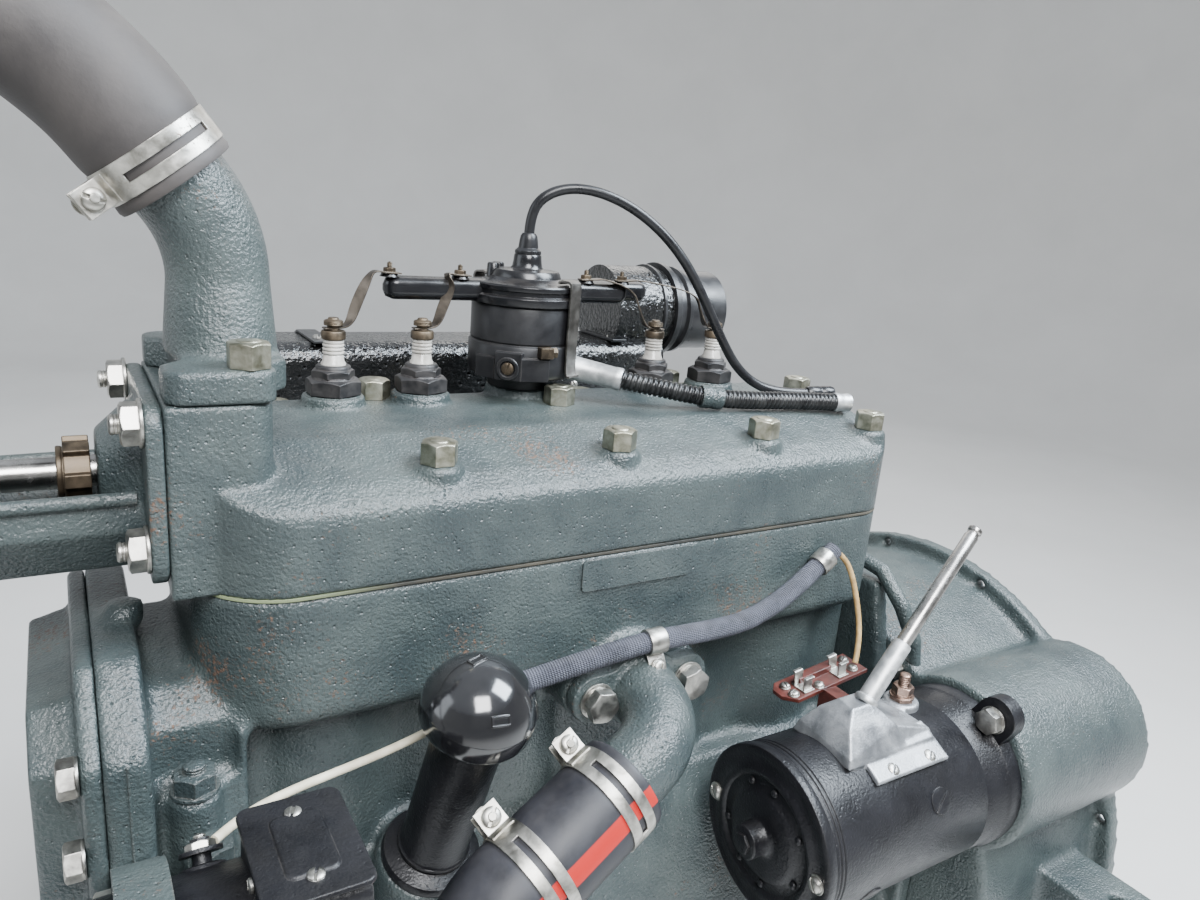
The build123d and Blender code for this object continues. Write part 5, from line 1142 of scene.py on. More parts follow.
class ENGINE_OT_ignition(Operator):
    """Adds the distributor with its cap, clips and straps, and the spark plugs."""

    bl_idname = "engine.ignition"
    bl_label = "Ignition"

    def execute(self, context):
        adapters, plugs, brass = Form(), Form(), Form()
        for i, x in enumerate(PLUG_XS):
            foot = Vector((x, PLUG_Y, PLUG_SEAT_Z))
            turn = about_z(0.5 + i)
            adapters.disc(13.6, 1, foot, UP, 40)
            adapters.hexagon(foot + UP * 0.8, UP, 30, 9.4, turn)
            adapters.lathe([(13, 9.8), (12.4, 11.2), (0, 11.2)], foot, UP, 40)
            adapters.hexagon(foot + UP * 11, UP, 23, 5, about_z(i * 2))
            adapters.lathe([(10.6, 15.8), (10.4, 17.4), (9.6, 18.4), (8.2, 18.6), (0, 18.6)], foot,
                UP, 40)
            base = foot + UP * 17.5
            plugs.lathe([(0, 0.8), (7.6, 0.8), (7.3, 2.2), (6.5, 3.4), (6, 6.8), (5.6, 7.4),
                (6.5, 8.1), (6.5, 9), (5.6, 9.6), (6.5, 10.3), (6.5, 11.2), (5.6, 11.8),
                (6.4, 12.5), (6.4, 13.4), (5.6, 14), (6.3, 14.7), (6.3, 15.8), (5.6, 16.8),
                (0, 16.8)], base, UP, 40)
            brass.lathe([(0, 16.6), (6.8, 16.6), (7.3, 17.1), (7.3, 21), (6.8, 21.8), (5, 22.2),
                (3.6, 22.4), (3.6, 24.6), (5.6, 25), (5.8, 25.6), (5.4, 26), (5.8, 26.4),
                (5.4, 26.8), (5.8, 27.2), (5.2, 28), (3.4, 28.6), (2.9, 29.6), (0, 30)], base, UP,
                36)
        adapters.done("plug_hexagons", "rusty_hex", ("plug_adapters",), bevel=0.4)
        plugs.done("plug_insulators", "porcelain", ("spark_plugs",))
        brass.done("plug_terminals", "dirty_bronze")

        body = Form()
        body.lathe([(0, 371), (23, 371), (23.4, 372), (23.4, 377), (27, 379), (33, 379.6),
            (36, 381), (37.4, 384), (37.4, 401.6), (36.8, 402.4), (35.9, 402.8), (35.9, 403.6),
            (36.4, 404.2), (36.4, 426.8), (35.4, 428.4), (0, 428.4)], DISTRIBUTOR, UP, 80)
        for degrees, width, high, proud in ((-129, 19, 399.5, 3.2), (-104, 21, 396, 2.4),
                                            (-154, 17, 395, 2), (30, 22, 400, 3)):
            out = about_z(math.radians(degrees))
            body.box(DISTRIBUTOR + out * (34 + proud / 2) + UP * ((380 + high) / 2),
                (width, high - 380, 8 + proud), out, (-out.y, out.x, 0), 0.06)
        body.done("distributor_housing", "bakelite_body", ("distributor_body",), bevel=0.8)
        fixings = Form()
        seat = DISTRIBUTOR + SCREW_OUT * 41 + UP * 388.5
        fixings.slotted(seat, SCREW_OUT, 4.2, 1.6, (0.5, 0.2, 0.8))
        side = Vector((-CLIP_OUT.y, CLIP_OUT.x, 0))
        lug = DISTRIBUTOR + CLIP_OUT * 40
        fixings.box(lug + UP * 400, (9, 7, 7), CLIP_OUT, side)
        fixings.hexagon(lug + side * 4.5 + UP * 400, side, 6.5, 3.2)
        fixings.done("distributor_screws", "dirty_bronze", bevel=0.3)
        Form().lathe([(7.2, 0), (7.4, 0.8), (7, 1.3), (5.6, 1.3), (5, 0.2), (5, -0.6)], seat,
            SCREW_OUT, 32).done("screw_well", "bakelite_body", sheet=0.4)

        Form().lathe([(0, 428.5), (38.2, 428.5), (38.5, 429.2), (38.5, 433.6), (37.6, 434.6),
            (36.6, 435), (36.6, 437.6), (37.6, 438.2), (37.8, 439.2), (37.8, 441), (37, 442),
            (31, 442.9), (26, 443.8), (23.6, 445.4), (22.6, 448.6), (21.4, 450), (15, 450.5),
            (11.4, 451), (10.2, 452.4), (9.6, 456), (9.3, 459.6), (8.6, 460.5), (0, 460.5)],
            DISTRIBUTOR, UP, 80).done("distributor_lid", "bakelite_cap", ("distributor_cap",))
        Form().prism(capsule(180, 16), DISTRIBUTOR + Vector((-9.5, 0, 428.6)), UP, 14.6, AFT).done(
            "lid_arms", "bakelite_cap", ("distributor_cap",), bevel=5.6)
        Form().prism(capsule(107, 16), DISTRIBUTOR + Vector((53.5, 14, 428.7)), UP, 14.4, AFT).done(
            "lid_far_arm", "bakelite_cap", ("distributor_cap",), bevel=5.5)
        bosses, tops = Form(), Form()
        for start in STRAP_STARTS:
            foot = Vector((start, 55.5, 442.6))
            bosses.lathe([(0, 0), (6.2, 0), (5.4, 1), (5, 2), (0, 2)], foot, UP, 32)
            tops.lathe([(0, 2.4), (4.6, 2.4), (4.6, 3), (0, 3)], foot, UP, 28)
            tops.hexagon(foot + UP * 3, UP, 6.6, 2.6)
            tops.stud(foot + UP * 5.6, UP, 1.7, 3.4, 0.8)
        for x, y in ((-447, 70), (-440, 78)):
            bosses.lathe([(0, 0), (4.6, 0), (4.2, 9), (3.4, 10), (0, 10)], (x, y, 443), UP, 24)
        bosses.done("lid_bosses", "bakelite_cap")
        tops.done("lid_terminals", "dirty_bronze")

        straps = Form()
        flat = oblong(0.9, 7.2)
        for x, start in zip(PLUG_XS, STRAP_STARTS):
            lean = 1 if start > x else -1
            top, low = 445, 411.6
            route = [(start + lean * 6, 54, top), (start - lean * 4, 53, top + 0.2),
                (start - lean * 12, 51, top + 1.5), (x + lean * 20, 49, top - 6),
                (x + lean * 14, 48, low + 14), (x + lean * 10, 47, low + 3),
                (x + lean * 5, 46, low + 0.2), (x - lean * 6, 46, low)]
            run = even_points(smooth_route([tuple(c * MM for c in p) for p in route]), 1.6)

            def facing(p, twist=0.95 if x < DISTRIBUTOR.x else 0.25):
                rise = max(0, math.sin(math.pi * held((p.z - low) / (top - low))))
                return Vector((-lean * 0.9, 0.6, 0.4)) * (rise * twist) + RIGHT * (1 - 0.6 * rise)
            straps.sweep(run, flat, up=facing)
        straps.done("strap_set", "strap_bronze", ("plug_straps",), bevel=0.15)

        clips = Form()
        for degrees in (-60, 120):
            out = about_z(math.radians(degrees))
            side = (-out.y, out.x, 0)
            line = [(29.6, 444), (30.2, 445.3), (32, 445.9), (37.2, 445.6), (38.9, 444.6),
                (39.5, 442.6), (39.3, 430), (39.2, 415), (39, 400), (39.2, 390), (39.8, 385),
                (41.2, 382.8), (43, 383.2)]
            clips.sweep([DISTRIBUTOR + out * r + UP * z for r, z in line], oblong(1.6, 12.6),
                up=side)
        clips.done("lid_clips", "clip_steel", ("distributor_clips",), bevel=0.25)
        return {"FINISHED"}


# Hoses, clamps and water fittings

NECK_TIP = Vector((-666.8, 0, 513.9))
NECK_DIR = Vector((-0.6157, 0, 0.7880)).normalized()
LOW_HOSE_TURN = math.radians(35)


def hose_clamp(name, centre, axis, radius, lug, slots, replaced):
    """A slotted strap with two upright lugs and the screw and nut that draw them together."""
    Form().band(centre, axis, radius + 0.3, 16.4, lug, slots).done(
        name + "_strap", "clamp_zinc", replaced, sheet=1.1, bevel=0.15)
    u, v, w = basis(axis, lug)
    fold = Form()
    for side, reach in ((1, 14.5), (-1, 13)):
        start = centre + u * (radius + 0.4) + v * (side * 5.2)
        line = [start + v * side * 5 - u * 0.9, start + v * side * 1.6, start + u * 1.4,
            start + u * 4.5 - v * side * 0.6, start + u * (reach - 1) - v * side * 0.6,
            start + u * reach - v * side * 0.6]
        fold.sweep(line, oblong(1.4, 14), up=w)
    screw_mid = centre + u * (radius + 8.4)
    fold.lathe([(0, -14), (2.2, -14), (2.2, 10), (0, 10)], screw_mid, v, 20)
    fold.slotted(screw_mid + v * 6, v, 5.2, 3.2, w + u * 0.7, 1.9)
    fold.hexagon(screw_mid - v * 5.4, -v, 9, 4.2)
    fold.disc(6.4, 1, screw_mid - v * 5.2, -v, 24)
    return fold.done(name + "_screw", "clamp_zinc", (), bevel=0.2)


class ENGINE_OT_hoses(Operator):
    """Adds both water hoses, their slotted clamps and the red stripe's hose."""

    bl_idname = "engine.hoses"
    bl_label = "Hoses"

    def execute(self, context):
        turn, bend, radius = math.radians(38), math.radians(34), 170
        side = Vector((-math.cos(turn), 0, -math.sin(turn)))
        line = [NECK_TIP - NECK_DIR * (30 - i * 2) for i in range(15)]
        for i in range(41):
            a = bend * i / 40
            line.append(NECK_TIP + side * (radius * (1 - math.cos(a)))
                        + NECK_DIR * (radius * math.sin(a)))
        out = Vector((-math.sin(turn + bend), 0, math.cos(turn + bend)))
        corner = line[-1]
        line += [corner + out * d for d in (4, 12, 24, 36, 48, 56, 60, 62)]

        def upper(distance, angle):
            squeeze = -math.exp(-((distance - 14) / 9.5) ** 4)
            swell = 0.9 * math.exp(-((distance - 34) / 12) ** 2)
            lip = -0.8 * max(0, 1 - distance / 1.6)
            end = -0.7 * max(0, (distance - 190) / 4)
            wave = 0.12 * math.sin(angle * 3 + distance / 9)
            return 30.9 + squeeze + swell * 0.4 + lip + end + wave

        Form().pipe(line, upper, 24.75, RIGHT, 72).done(
            "upper_hose_rubber", "hose_rubber", ("upper_hose",), angle=50)
        hose_clamp("upper_clamp", NECK_TIP - NECK_DIR * 16, NECK_DIR, 29.9,
                   (-0.76, -0.26, -0.594), ((38, 126), (205, 320)), ("upper_hose_clamp",))

        axis = LOW_HOSE_DIR
        flat = Vector((axis.y, -axis.x, 0)).normalized()
        down = flat.cross(axis).normalized()
        down = down if down.z < 0 else -down
        line = [LOW_HOSE_START + axis * d for d in (0, 1.5, *range(4, 84, 4))]
        corner = line[-1]
        for i in range(1, 13):
            a = LOW_HOSE_TURN * i / 12
            line.append(corner + axis * (55 * math.sin(a)) + down * (55 * (1 - math.cos(a))))
        out = axis * math.cos(LOW_HOSE_TURN) + down * math.sin(LOW_HOSE_TURN)
        corner = line[-1]
        line += [corner + out * d for d in (6, 14, 24, 34, 44, 54, 58.5, 60)]

        def lower(distance, angle):
            squeeze = sum(-0.8 * math.exp(-((distance - d) / 8.5) ** 4) for d in (14, 70))
            lip = -0.7 * max(0, 1 - distance / 1.5) - 0.7 * max(0, (distance - 172) / 3)
            return 28.2 + squeeze + lip

        Form().pipe(line, lower, 21.5, flat, 72).done(
            "lower_hose_rubber", "lower_rubber", ("lower_hose",), angle=50)
        for name, along in (("front_clamp", 14), ("rear_clamp", 70)):
            hose_clamp(name, LOW_HOSE_START + axis * along, -axis, 27.5,
                       (-0.421, 0.634, 0.640), ((40, 145), (210, 300)), ("lower_hose_clamps",))
        return {"FINISHED"}


# Oil filler

FILLER_FOOT = Vector((-539, -84, 127))
FILLER_DIR = Vector((0.0722292, -0.3129931, 0.9470049)).normalized()


class ENGINE_OT_filler(Operator):
    """Adds the oil filler's tube and its lift-off cap with pressed vents."""

    bl_idname = "engine.filler"
    bl_label = "Oil Filler"

    def execute(self, context):
        length = 124.7
        tube = Form()
        tube.lathe([(17.9, 50), (17.9, length - 0.5), (18.6, length), (19.4, length - 0.6),
            (19.5, length - 2), (19.5, 14), (19.9, 12.8), (20.8, 12.2), (21, 10.8), (20, 10),
            (20, 8), (24, 6.4), (27.4, 5.2), (28.4, 3.6), (28.5, 0.6), (28, 0), (0, 0)],
            FILLER_FOOT, FILLER_DIR, 64)
        tube.lathe([(17.9, 50), (0, 50)], FILLER_FOOT, FILLER_DIR, 64)
        tube.done("filler_pipe", "black_enamel", ("oil_filler_tube",))
        head = Vector((-530, -123, 245))
        base = head - FILLER_DIR * 18
        over = (22 - 30.5) ** 2 / 44
        drop, radius = 30.5 + over - 22, 30.5 + over
        start = math.atan2(drop, 30.5)
        dome = [(radius * math.cos(a), 19 - drop + radius * math.sin(a))
                for a in (start + (math.pi / 2 - start) * i / 16 for i in range(17))]
        dome[-1] = (0, 41)
        cap = Form()
        cap.lathe([(0, 20), (19.9, 20), (19.9, 0.6), (20.4, 0), (23.8, 0), (24.6, 0.5),
            (26.2, 4.6), (28.6, 6), (30.1, 7.2), (30.5, 8.6), (30.5, 17.8), (30.3, 18.6)] + dome,
            base, FILLER_DIR, 96)
        u, v, w = basis(FILLER_DIR, (-0.20, -0.75, 0))
        centre = base + FILLER_DIR * (19 - drop)
        for turn, tilt in ((0.21, 0.82), (3.78, 0.34)):
            level = u * math.cos(turn) + v * math.sin(turn)
            outward = w * math.cos(tilt) + level * math.sin(tilt)
            across = outward.cross(w).normalized()
            seat = centre + outward * (radius + 0.1)
            for shift in (-2.2, 2.2):
                cap.box(seat + outward.cross(across) * shift, (9.5, 0.9, 1.2), outward, across)
            for shift in (-4.4, 4.4):
                cap.box(seat + across * shift, (0.9, 5.2, 1.2), outward, across)
            cap.box(seat - outward * 0.2, (7.9, 3.2, 0.8), outward, across)
        cap.done("filler_lid", "gloss_cap", ("oil_filler_cap",), "filler_cap")
        return {"FINISHED"}


# Starter motor

STARTER = Vector((0, -150, 118))


class ENGINE_OT_starter(Operator):
    """Adds the starter, its foot switch and push rod, the fuse plate and the terminal."""

    bl_idname = "engine.starter"
    bl_label = "Starter"

    def execute(self, context):
        motor = Form()
        motor.lathe([(0, -357), (9.6, -357), (11, -356), (11, -346), (12.4, -344.6), (16, -344),
            (26, -343), (29.4, -341.6), (31, -340), (37.6, -339.4), (39.4, -341.2), (42.4, -341.4),
            (44, -339.8), (51.6, -339.2), (54.2, -340), (56.6, -339), (57, -337.6), (57, -333),
            (56.2, -332), (55.6, -331.6), (55.6, -331), (56, -330.4), (56, -329), (55.2, -328.4),
            (55.2, -327.8), (56, -327.2), (56, -325.8), (55.2, -325.2), (55.2, -324.6), (56, -324),
            (56, -190), (55.6, -189.4), (55.6, -188.8), (56, -188.2), (56, -170), (57.6, -167),
            (58, -166), (58, -155.2), (0, -155.2)], STARTER, AFT, 96)
        for y, z in STARTER_LUGS:
            away = Vector((0, y, z)) - STARTER
            motor.prism(capsule(52, 29), FORE * 167 + STARTER + away * 0.86, AFT, 11.8, away)
        motor.done("starter_case", "black_enamel", ("starter_motor",), bevel=0.5, angle=50)
        screws = Form()
        for degrees in (0, 180):
            place = STARTER + ring_point(-339.4, 47.5, math.radians(degrees))
            screws.disc(6.2, 1, place, FORE, 28)
            screws.slotted(place + FORE * 0.8, FORE, 4.6, 3, (0, 0.6, 0.8))
        screws.done("starter_through_screws", "bright_plate")
        rivets = Form()
        for degrees in (62, 98, 150, 205, 262, 300, 345):
            place = STARTER + ring_point(-340.2, 34, math.radians(degrees))
            rivets.lathe([(0, 0), (2.6, 0), (2.3, 1.2), (1.2, 1.9), (0, 2.1)], place, FORE, 18)
        for x, degrees in ((-236, 152), (-290, 208), (-236, 262)):
            away = about_x(math.radians(degrees))
            rivets.slotted(STARTER + AFT * x + away * 55.4, away, 8.6, 1.6, (0.8, 0.3, 0.6), 1.8)
        rivets.hexagon(STARTER + FORE * 357, FORE, 12, 2)
        rivets.done("starter_rivets", "black_enamel")

        alloy = Form()
        alloy.prism(rounded(84, 52, 6), (-259, -150, 160), UP, 13, AFT, 0.03)
        alloy.hull([(x, y, 170) for x in (-301, -246) for y in (-176, -124)] + [(-300, -175, 176),
            (-299, -127, 178), (-292, -164, 190), (-290, -134, 190), (-283, -156, 198),
            (-281, -142, 198), (-265, -156, 198), (-263, -142, 198), (-252, -168, 186),
            (-250, -132, 186)])
        alloy.hull([(-262, y, 168) for y in (-176, -125)] + [(-217, y, 168) for y in (-173, -127)]
            + [(-262, -166, 187), (-262, -136, 187), (-246, -168, 180), (-246, -132, 181),
            (-219, -170, 176), (-219, -130, 176)])
        alloy.lathe([(0, 166), (13, 166), (12.4, 177.4), (11, 178.6), (0, 178.6)], (-211, -138, 0),
            UP, 40)
        lean = math.radians(28)
        skirt_out = Vector((0, -math.sin(lean), math.cos(lean)))
        skirt = STARTER + skirt_out * 57
        alloy.box(Vector((-252, skirt.y, skirt.z)), (68, 24, 3.8), skirt_out, AFT, 0.02)
        alloy.box(Vector((-252, skirt.y + 9, skirt.z + 4)), (64, 14, 8), skirt_out, AFT, 0.02)
        alloy.cast("switch_casting", "cast_alloy", ("starter_switch",), voxel=0.9, rounds=4)
        small = Form()
        for x in (-268, -233):
            small.slotted(Vector((x, skirt.y - 5.2, skirt.z - 3.6)) + skirt_out * 1.4, skirt_out,
                4.2, 2.6, (0.6, 0.5, 0.3))
        small.done("switch_screws", "bright_plate")

        foot = Vector((-267, -150, 192))
        way = Vector((1, 0.12, 1.06)).normalized()
        Form().lathe([(0, 3), (7.4, 3), (8, 4), (8, 6.6), (7.4, 7.6), (6.6, 8), (6.5, 50),
            (6.1, 51.6), (5.2, 52), (0, 52)], foot, way, 40).done(
            "push_sleeve", "alloy_sleeve", ("starter_push_rod",))
        Form().lathe([(0, 46), (5, 46), (4.9, 143), (4.2, 144.4), (4.2, 146), (5, 147), (5, 149.2),
            (4.2, 150), (0, 150)], foot, way, 32).done(
            "push_rod", "bare_steel", ("starter_push_rod",))

        tilt = math.radians(8)
        along = Vector((math.cos(tilt), 0, math.sin(tilt)))
        lift = Vector((-math.sin(tilt), 0, math.cos(tilt)))
        middle = Vector((-265, -108, 190))
        plate = Form()
        plate.prism([(-36, -3), (-29, -12), (36, -12), (36, 12), (-30, 12), (-36, 6)],
            middle - lift * 1.6, lift, 3, along)
        plate.box(middle + Vector((0, -17, -9)), (12, 18, 17))
        plate.box(middle + along * -2 + RIGHT * 3 + lift * 3.4, (30, 6, 5), lift, along)
        plate.done("fuse_plate", "red_fibre", ("fuse_block",), bevel=0.5)
        metal = Form()
        for shift in (-17, 15):
            spot = middle + along * shift + lift * 1.4 + LEFT * 3
            metal.box(spot + lift * 0.5, (9, 14, 1), lift, along)
            for side in (-4.6, 4.6):
                metal.box(spot + RIGHT * side + lift * 5.5, (7.5, 1, 10.5), lift, along)
                metal.box(spot + RIGHT * (side * 1.25) + lift * 10.6, (7.5, 2.6, 1), lift, along)
        for x, y in ((-28, -6), (-27, 4), (-7, -8), (27, -6), (29, 5)):
            spot = middle + along * x + RIGHT * y + lift * 1.4
            metal.disc(3.9, 0.8, spot, lift, 24)
            metal.slotted(spot + lift * 0.8, lift, 3.2, 2.2, about_z(x), 0.9)
        metal.done("fuse_fittings", "bright_plate", (), bevel=0.2)

        stud = Form()
        spot = Vector((-211, -138, 168))
        stud.lathe([(0, 0), (9.2, 0), (9.2, 3.5), (8.4, 4.2), (8.4, 6.4), (10.2, 7), (10.2, 8.4),
            (0, 8.4)], spot, UP, 36)
        stud.hexagon(spot + UP * 8.4, UP, 15, 4.2, (0.8, 0.6, 0))
        stud.lathe([(0, 12.6), (8.6, 12.6), (8.6, 13.8), (7.2, 14), (7.2, 15.6), (0, 15.6)], spot,
            UP, 32)
        stud.hexagon(spot + UP * 15.6, UP, 13, 5.6, (0.3, 0.9, 0))
        stud.stud(spot + UP * 21.2, UP, 4, 8.6)
        stud.done("starter_stud", "copper", ("starter_terminal",), bevel=0.25)
        return {"FINISHED"}


# Clips and water pump details

FAN_Z = 347


class ENGINE_OT_clips(Operator):
    """Adds the loom's clips, the pump's packing nut and the trough's edges."""

    bl_idname = "engine.clips"
    bl_label = "Clips"

    def execute(self, context):
        clips = Form()
        run = smooth_route(LOOM_ROUTE)
        for target, tab_dir, tab_len, screw_out in (
                ((-406, -101, 244.6), (0.12, -0.35, -0.93), 20, (0.1, -0.92, 0.38)),
                ((-255, -85.6, 268), (0.1, 0.5, -0.86), 16, (0, -1, 0.05))):
            hold, axis = nearest(run, lambda p: (p - Vector(target)).length)
            clips.lathe([(6.7, -6), (7.9, -6), (8.1, -5.6), (8.1, 5.6), (7.9, 6), (6.7, 6),
                (6.7, -6)], hold, axis, 40)
            tab, normal, _ = basis(axis, tab_dir)
            line = [hold + tab * 6.6 + normal * 2.5, hold + tab * 9.5 + normal * 1.2,
                hold + tab * (tab_len - 2), hold + tab * (tab_len + 2)]
            clips.sweep(line, oblong(1.6, 11.6), up=axis)
            spot = hold + tab * (tab_len - 4)
            face = Vector(screw_out)
            clips.lathe([(0, 0.5), (5.6, 0.5), (5.6, 1.6), (0, 1.6)], spot, face, 28)
            clips.slotted(spot + face.normalized() * 1.4, face, 4.2, 2.6, (0.5, 0.1, 0.9))
        clips.done("loom_clip_pair", "bright_plate", ("loom_clips",), bevel=0.2)

        packing = Form()
        outline = []
        for k in range(6):
            a = math.pi / 3 * k
            for da, r in ((-0.24, 15), (-0.19, 18.2), (0.19, 18.2), (0.24, 15), (0.42, 15)):
                outline.append((r * math.cos(a + da), r * math.sin(a + da)))
        packing.prism(outline, (-705, 0, FAN_Z), AFT, 11.5, RIGHT)
        packing.lathe([(8.3, -0.2), (12.6, -0.2), (13.4, 0.8), (13.4, 3), (8.3, 3)],
            (-705, 0, FAN_Z), FORE, 36)
        packing.done("packing_nut_lugs", "dirty_bronze", ("pump_packing_nut",), bevel=0.7)

        edges = Form()
        for side in (-1, 1):
            edges.sweep([(-760, side * 38.2, 343), (-720, side * 38.6, 343.4),
                (-676, side * 39, 343.6)], 3.4, up=UP, sides=16)
        edges.done("trough_edges", "engine_paint")
        return {"FINISHED"}


# Marks of the castings

class ENGINE_OT_marks(Operator):
    """Adds the blank number pad, the parting lines and the bosses' rims."""

    bl_idname = "engine.marks"
    bl_label = "Casting Marks"

    def execute(self, context):
        Form().prism(rounded(81, 20.4, 3.2), (-407, -77.2, 283.3), LEFT, 1.6, AFT).done(
            "number_pad", "engine_paint", bevel=0.35)
        lines = Form()
        rib = [(-0.9, -0.7), (0.9, -0.7), (0.5, 0.7), (-0.5, 0.7)]
        lines.sweep([(-689.4, -96.2, 236), (-689.4, -98.6, 190), (-689.4, -105.3, 120),
            (-689.4, -118.7, 40), (-689.4, -124, 6)], rib, up=LEFT)
        lines.sweep([(-707, -103.2, 139), (-680.5, -103.2, 139)], rib, up=LEFT)
        lines.sweep([(-629, -25.4, 412), (-629, -25, 440)], rib, up=LEFT)
        lines.done("parting_lines", "engine_paint", bevel=0.3)
        rims = Form()
        for x in PLUG_XS:
            rims.lathe([(17.2, -2), (17.2, 0.1), (16.2, 0.6), (14.8, 0.2), (14.8, -2)],
                (x, PLUG_Y, PLUG_SEAT_Z), UP, 44)
        rims.done("seat_rims", "engine_paint")
        band = Form()
        hold, axis = nearest(smooth_route(CONDUIT_ROUTE), lambda p: abs(p.x + 316))
        band.lathe([(6.7, -8), (7.7, -8), (8, -7), (8, -2), (7.6, -1), (7.6, 1), (8, 2), (8, 7),
            (7.7, 8), (6.7, 8), (6.7, -8)], hold, axis, 36)
        band.done("conduit_clip", "engine_paint")
        return {"FINISHED"}


# Generator, belt drive and fan

GENERATOR = Vector((0, -176, 165))
POST_FOOT = Vector((-665, -176, 165))
POST_DIR = Vector((0, 0.679, 0.734)).normalized()
HEATER_STRAPS = (-545, -400, -300)


class ENGINE_OT_drive(Operator):
    """Adds the generator's fittings, the pulleys' nuts and the fan's rivets."""

    bl_idname = "engine.drive"
    bl_label = "Belt Drive"

    def execute(self, context):
        shell = Form()
        shell.lathe([(56, -733), (56.9, -733), (56.9, -731), (56, -730.4), (56, -729),
            (56.9, -728.4), (56.9, -726.6), (56, -726.4)], GENERATOR, AFT, 96)
        shell.lathe([(56, -622), (57.2, -622), (57.4, -621), (57.4, -609.6), (57, -608.8),
            (56, -608.6)], GENERATOR, AFT, 96)
        shell.lathe([(26, -748.5), (20, -751.4), (16, -752), (15.4, -756), (12, -757), (8.6, -757),
            (8.6, -750)], GENERATOR, AFT, 60)
        shell.lathe([(0, -604.6), (9, -604.6), (13, -605.4), (15, -607.4), (15, -609)], GENERATOR,
            AFT, 48)
        shell.lathe([(10, 10.4), (9.2, 12.6), (7, 13.2), (4, 13.4)], POST_FOOT + POST_DIR * 44,
            POST_DIR, 28)
        shell.done("generator_bands", "black_enamel", bevel=0.2)
        bolts = Form()
        for k in range(4):
            away = about_x(math.pi / 4 + k * math.pi / 2)
            bolts.slotted(GENERATOR + away * 40 + FORE * 750.6, FORE, 4.6, 3.2, (0, -away.z,
                away.y))
            bolts.hexagon(GENERATOR + away * 40 + FORE * 607.4, AFT, 9, 4, away)
        bolts.hexagon(POST_FOOT + POST_DIR * 63.4, POST_DIR, 11, 3.4)
        bolts.stud(POST_FOOT + POST_DIR * 66.8, POST_DIR, 2.6, 3.2, 1)
        for y in (-196, -156):
            bolts.slotted((-631, y, 235), UP, 3.6, 2.2, (0.4, 1, 0))
        bolts.slotted((-651, -176, 222), FORE, 3.4, 2, (0, 0.7, 0.7))
        bolts.hexagon((-699.6, -118.5, 181), FORE, 16, 7)
        bolts.done("generator_fixings", "bright_plate", bevel=0.2)
        lid = Form()
        lid.prism(rounded(64, 44, 5), (-631, -176, 233.2), UP, 2.2, RIGHT, 0.02)
        lid.prism(rounded(40, 22, 4), (-631, -176, 235), UP, 1.4, RIGHT, 0.08)
        lid.done("cutout_lid", "black_enamel", bevel=0.6)
        hub = Form()
        hub.hexagon((-800, -176, 165), FORE, 22, 8.5)
        hub.disc(14, 1.6, (-799.5, -176, 165), FORE, 36)
        hub.done("generator_nut", "bright_plate", (), "generator_rotor", bevel=0.3)
        fan = Form()
        fan.lathe([(0, 0), (17, 0), (17, 2), (8, 2), (0, 2)], (-824.8, 0, FAN_Z), FORE, 40)
        fan.hexagon((-826.6, 0, FAN_Z), FORE, 26, 8)
        for up in (1, -1):
            for y, z in ((-16, 34), (16, 34), (0, 46), (-14, 58), (14, 58)):
                lean = -0.2 * up * y
                fan.lathe([(0, -1), (4.2, -1), (4, 1.2), (2.4, 2.4), (0, 2.8)],
                    (-819.6 + lean * 0.9, y * 0.8, FAN_Z + up * z), FORE, 20)
        fan.done("fan_fixings", "bare_steel", (), "fan_assembly", bevel=0.3)
        front = Form()
        for k in range(6):
            a = math.pi / 3 * k + 0.3
            front.hexagon(ring_point(-735.4, 58, a), FORE, 12, 5, about_x(a))
        for y in (-55, 55):
            front.lathe([(6.9, 0), (13, 0), (13.4, 0.5), (13.4, 1.8), (6.9, 2)], (-732, y, -120),
                UP, 36)
        front.done("yoke_bolts", "bright_plate", bevel=0.3)
        return {"FINISHED"}


# Sump, housing and the right-hand side

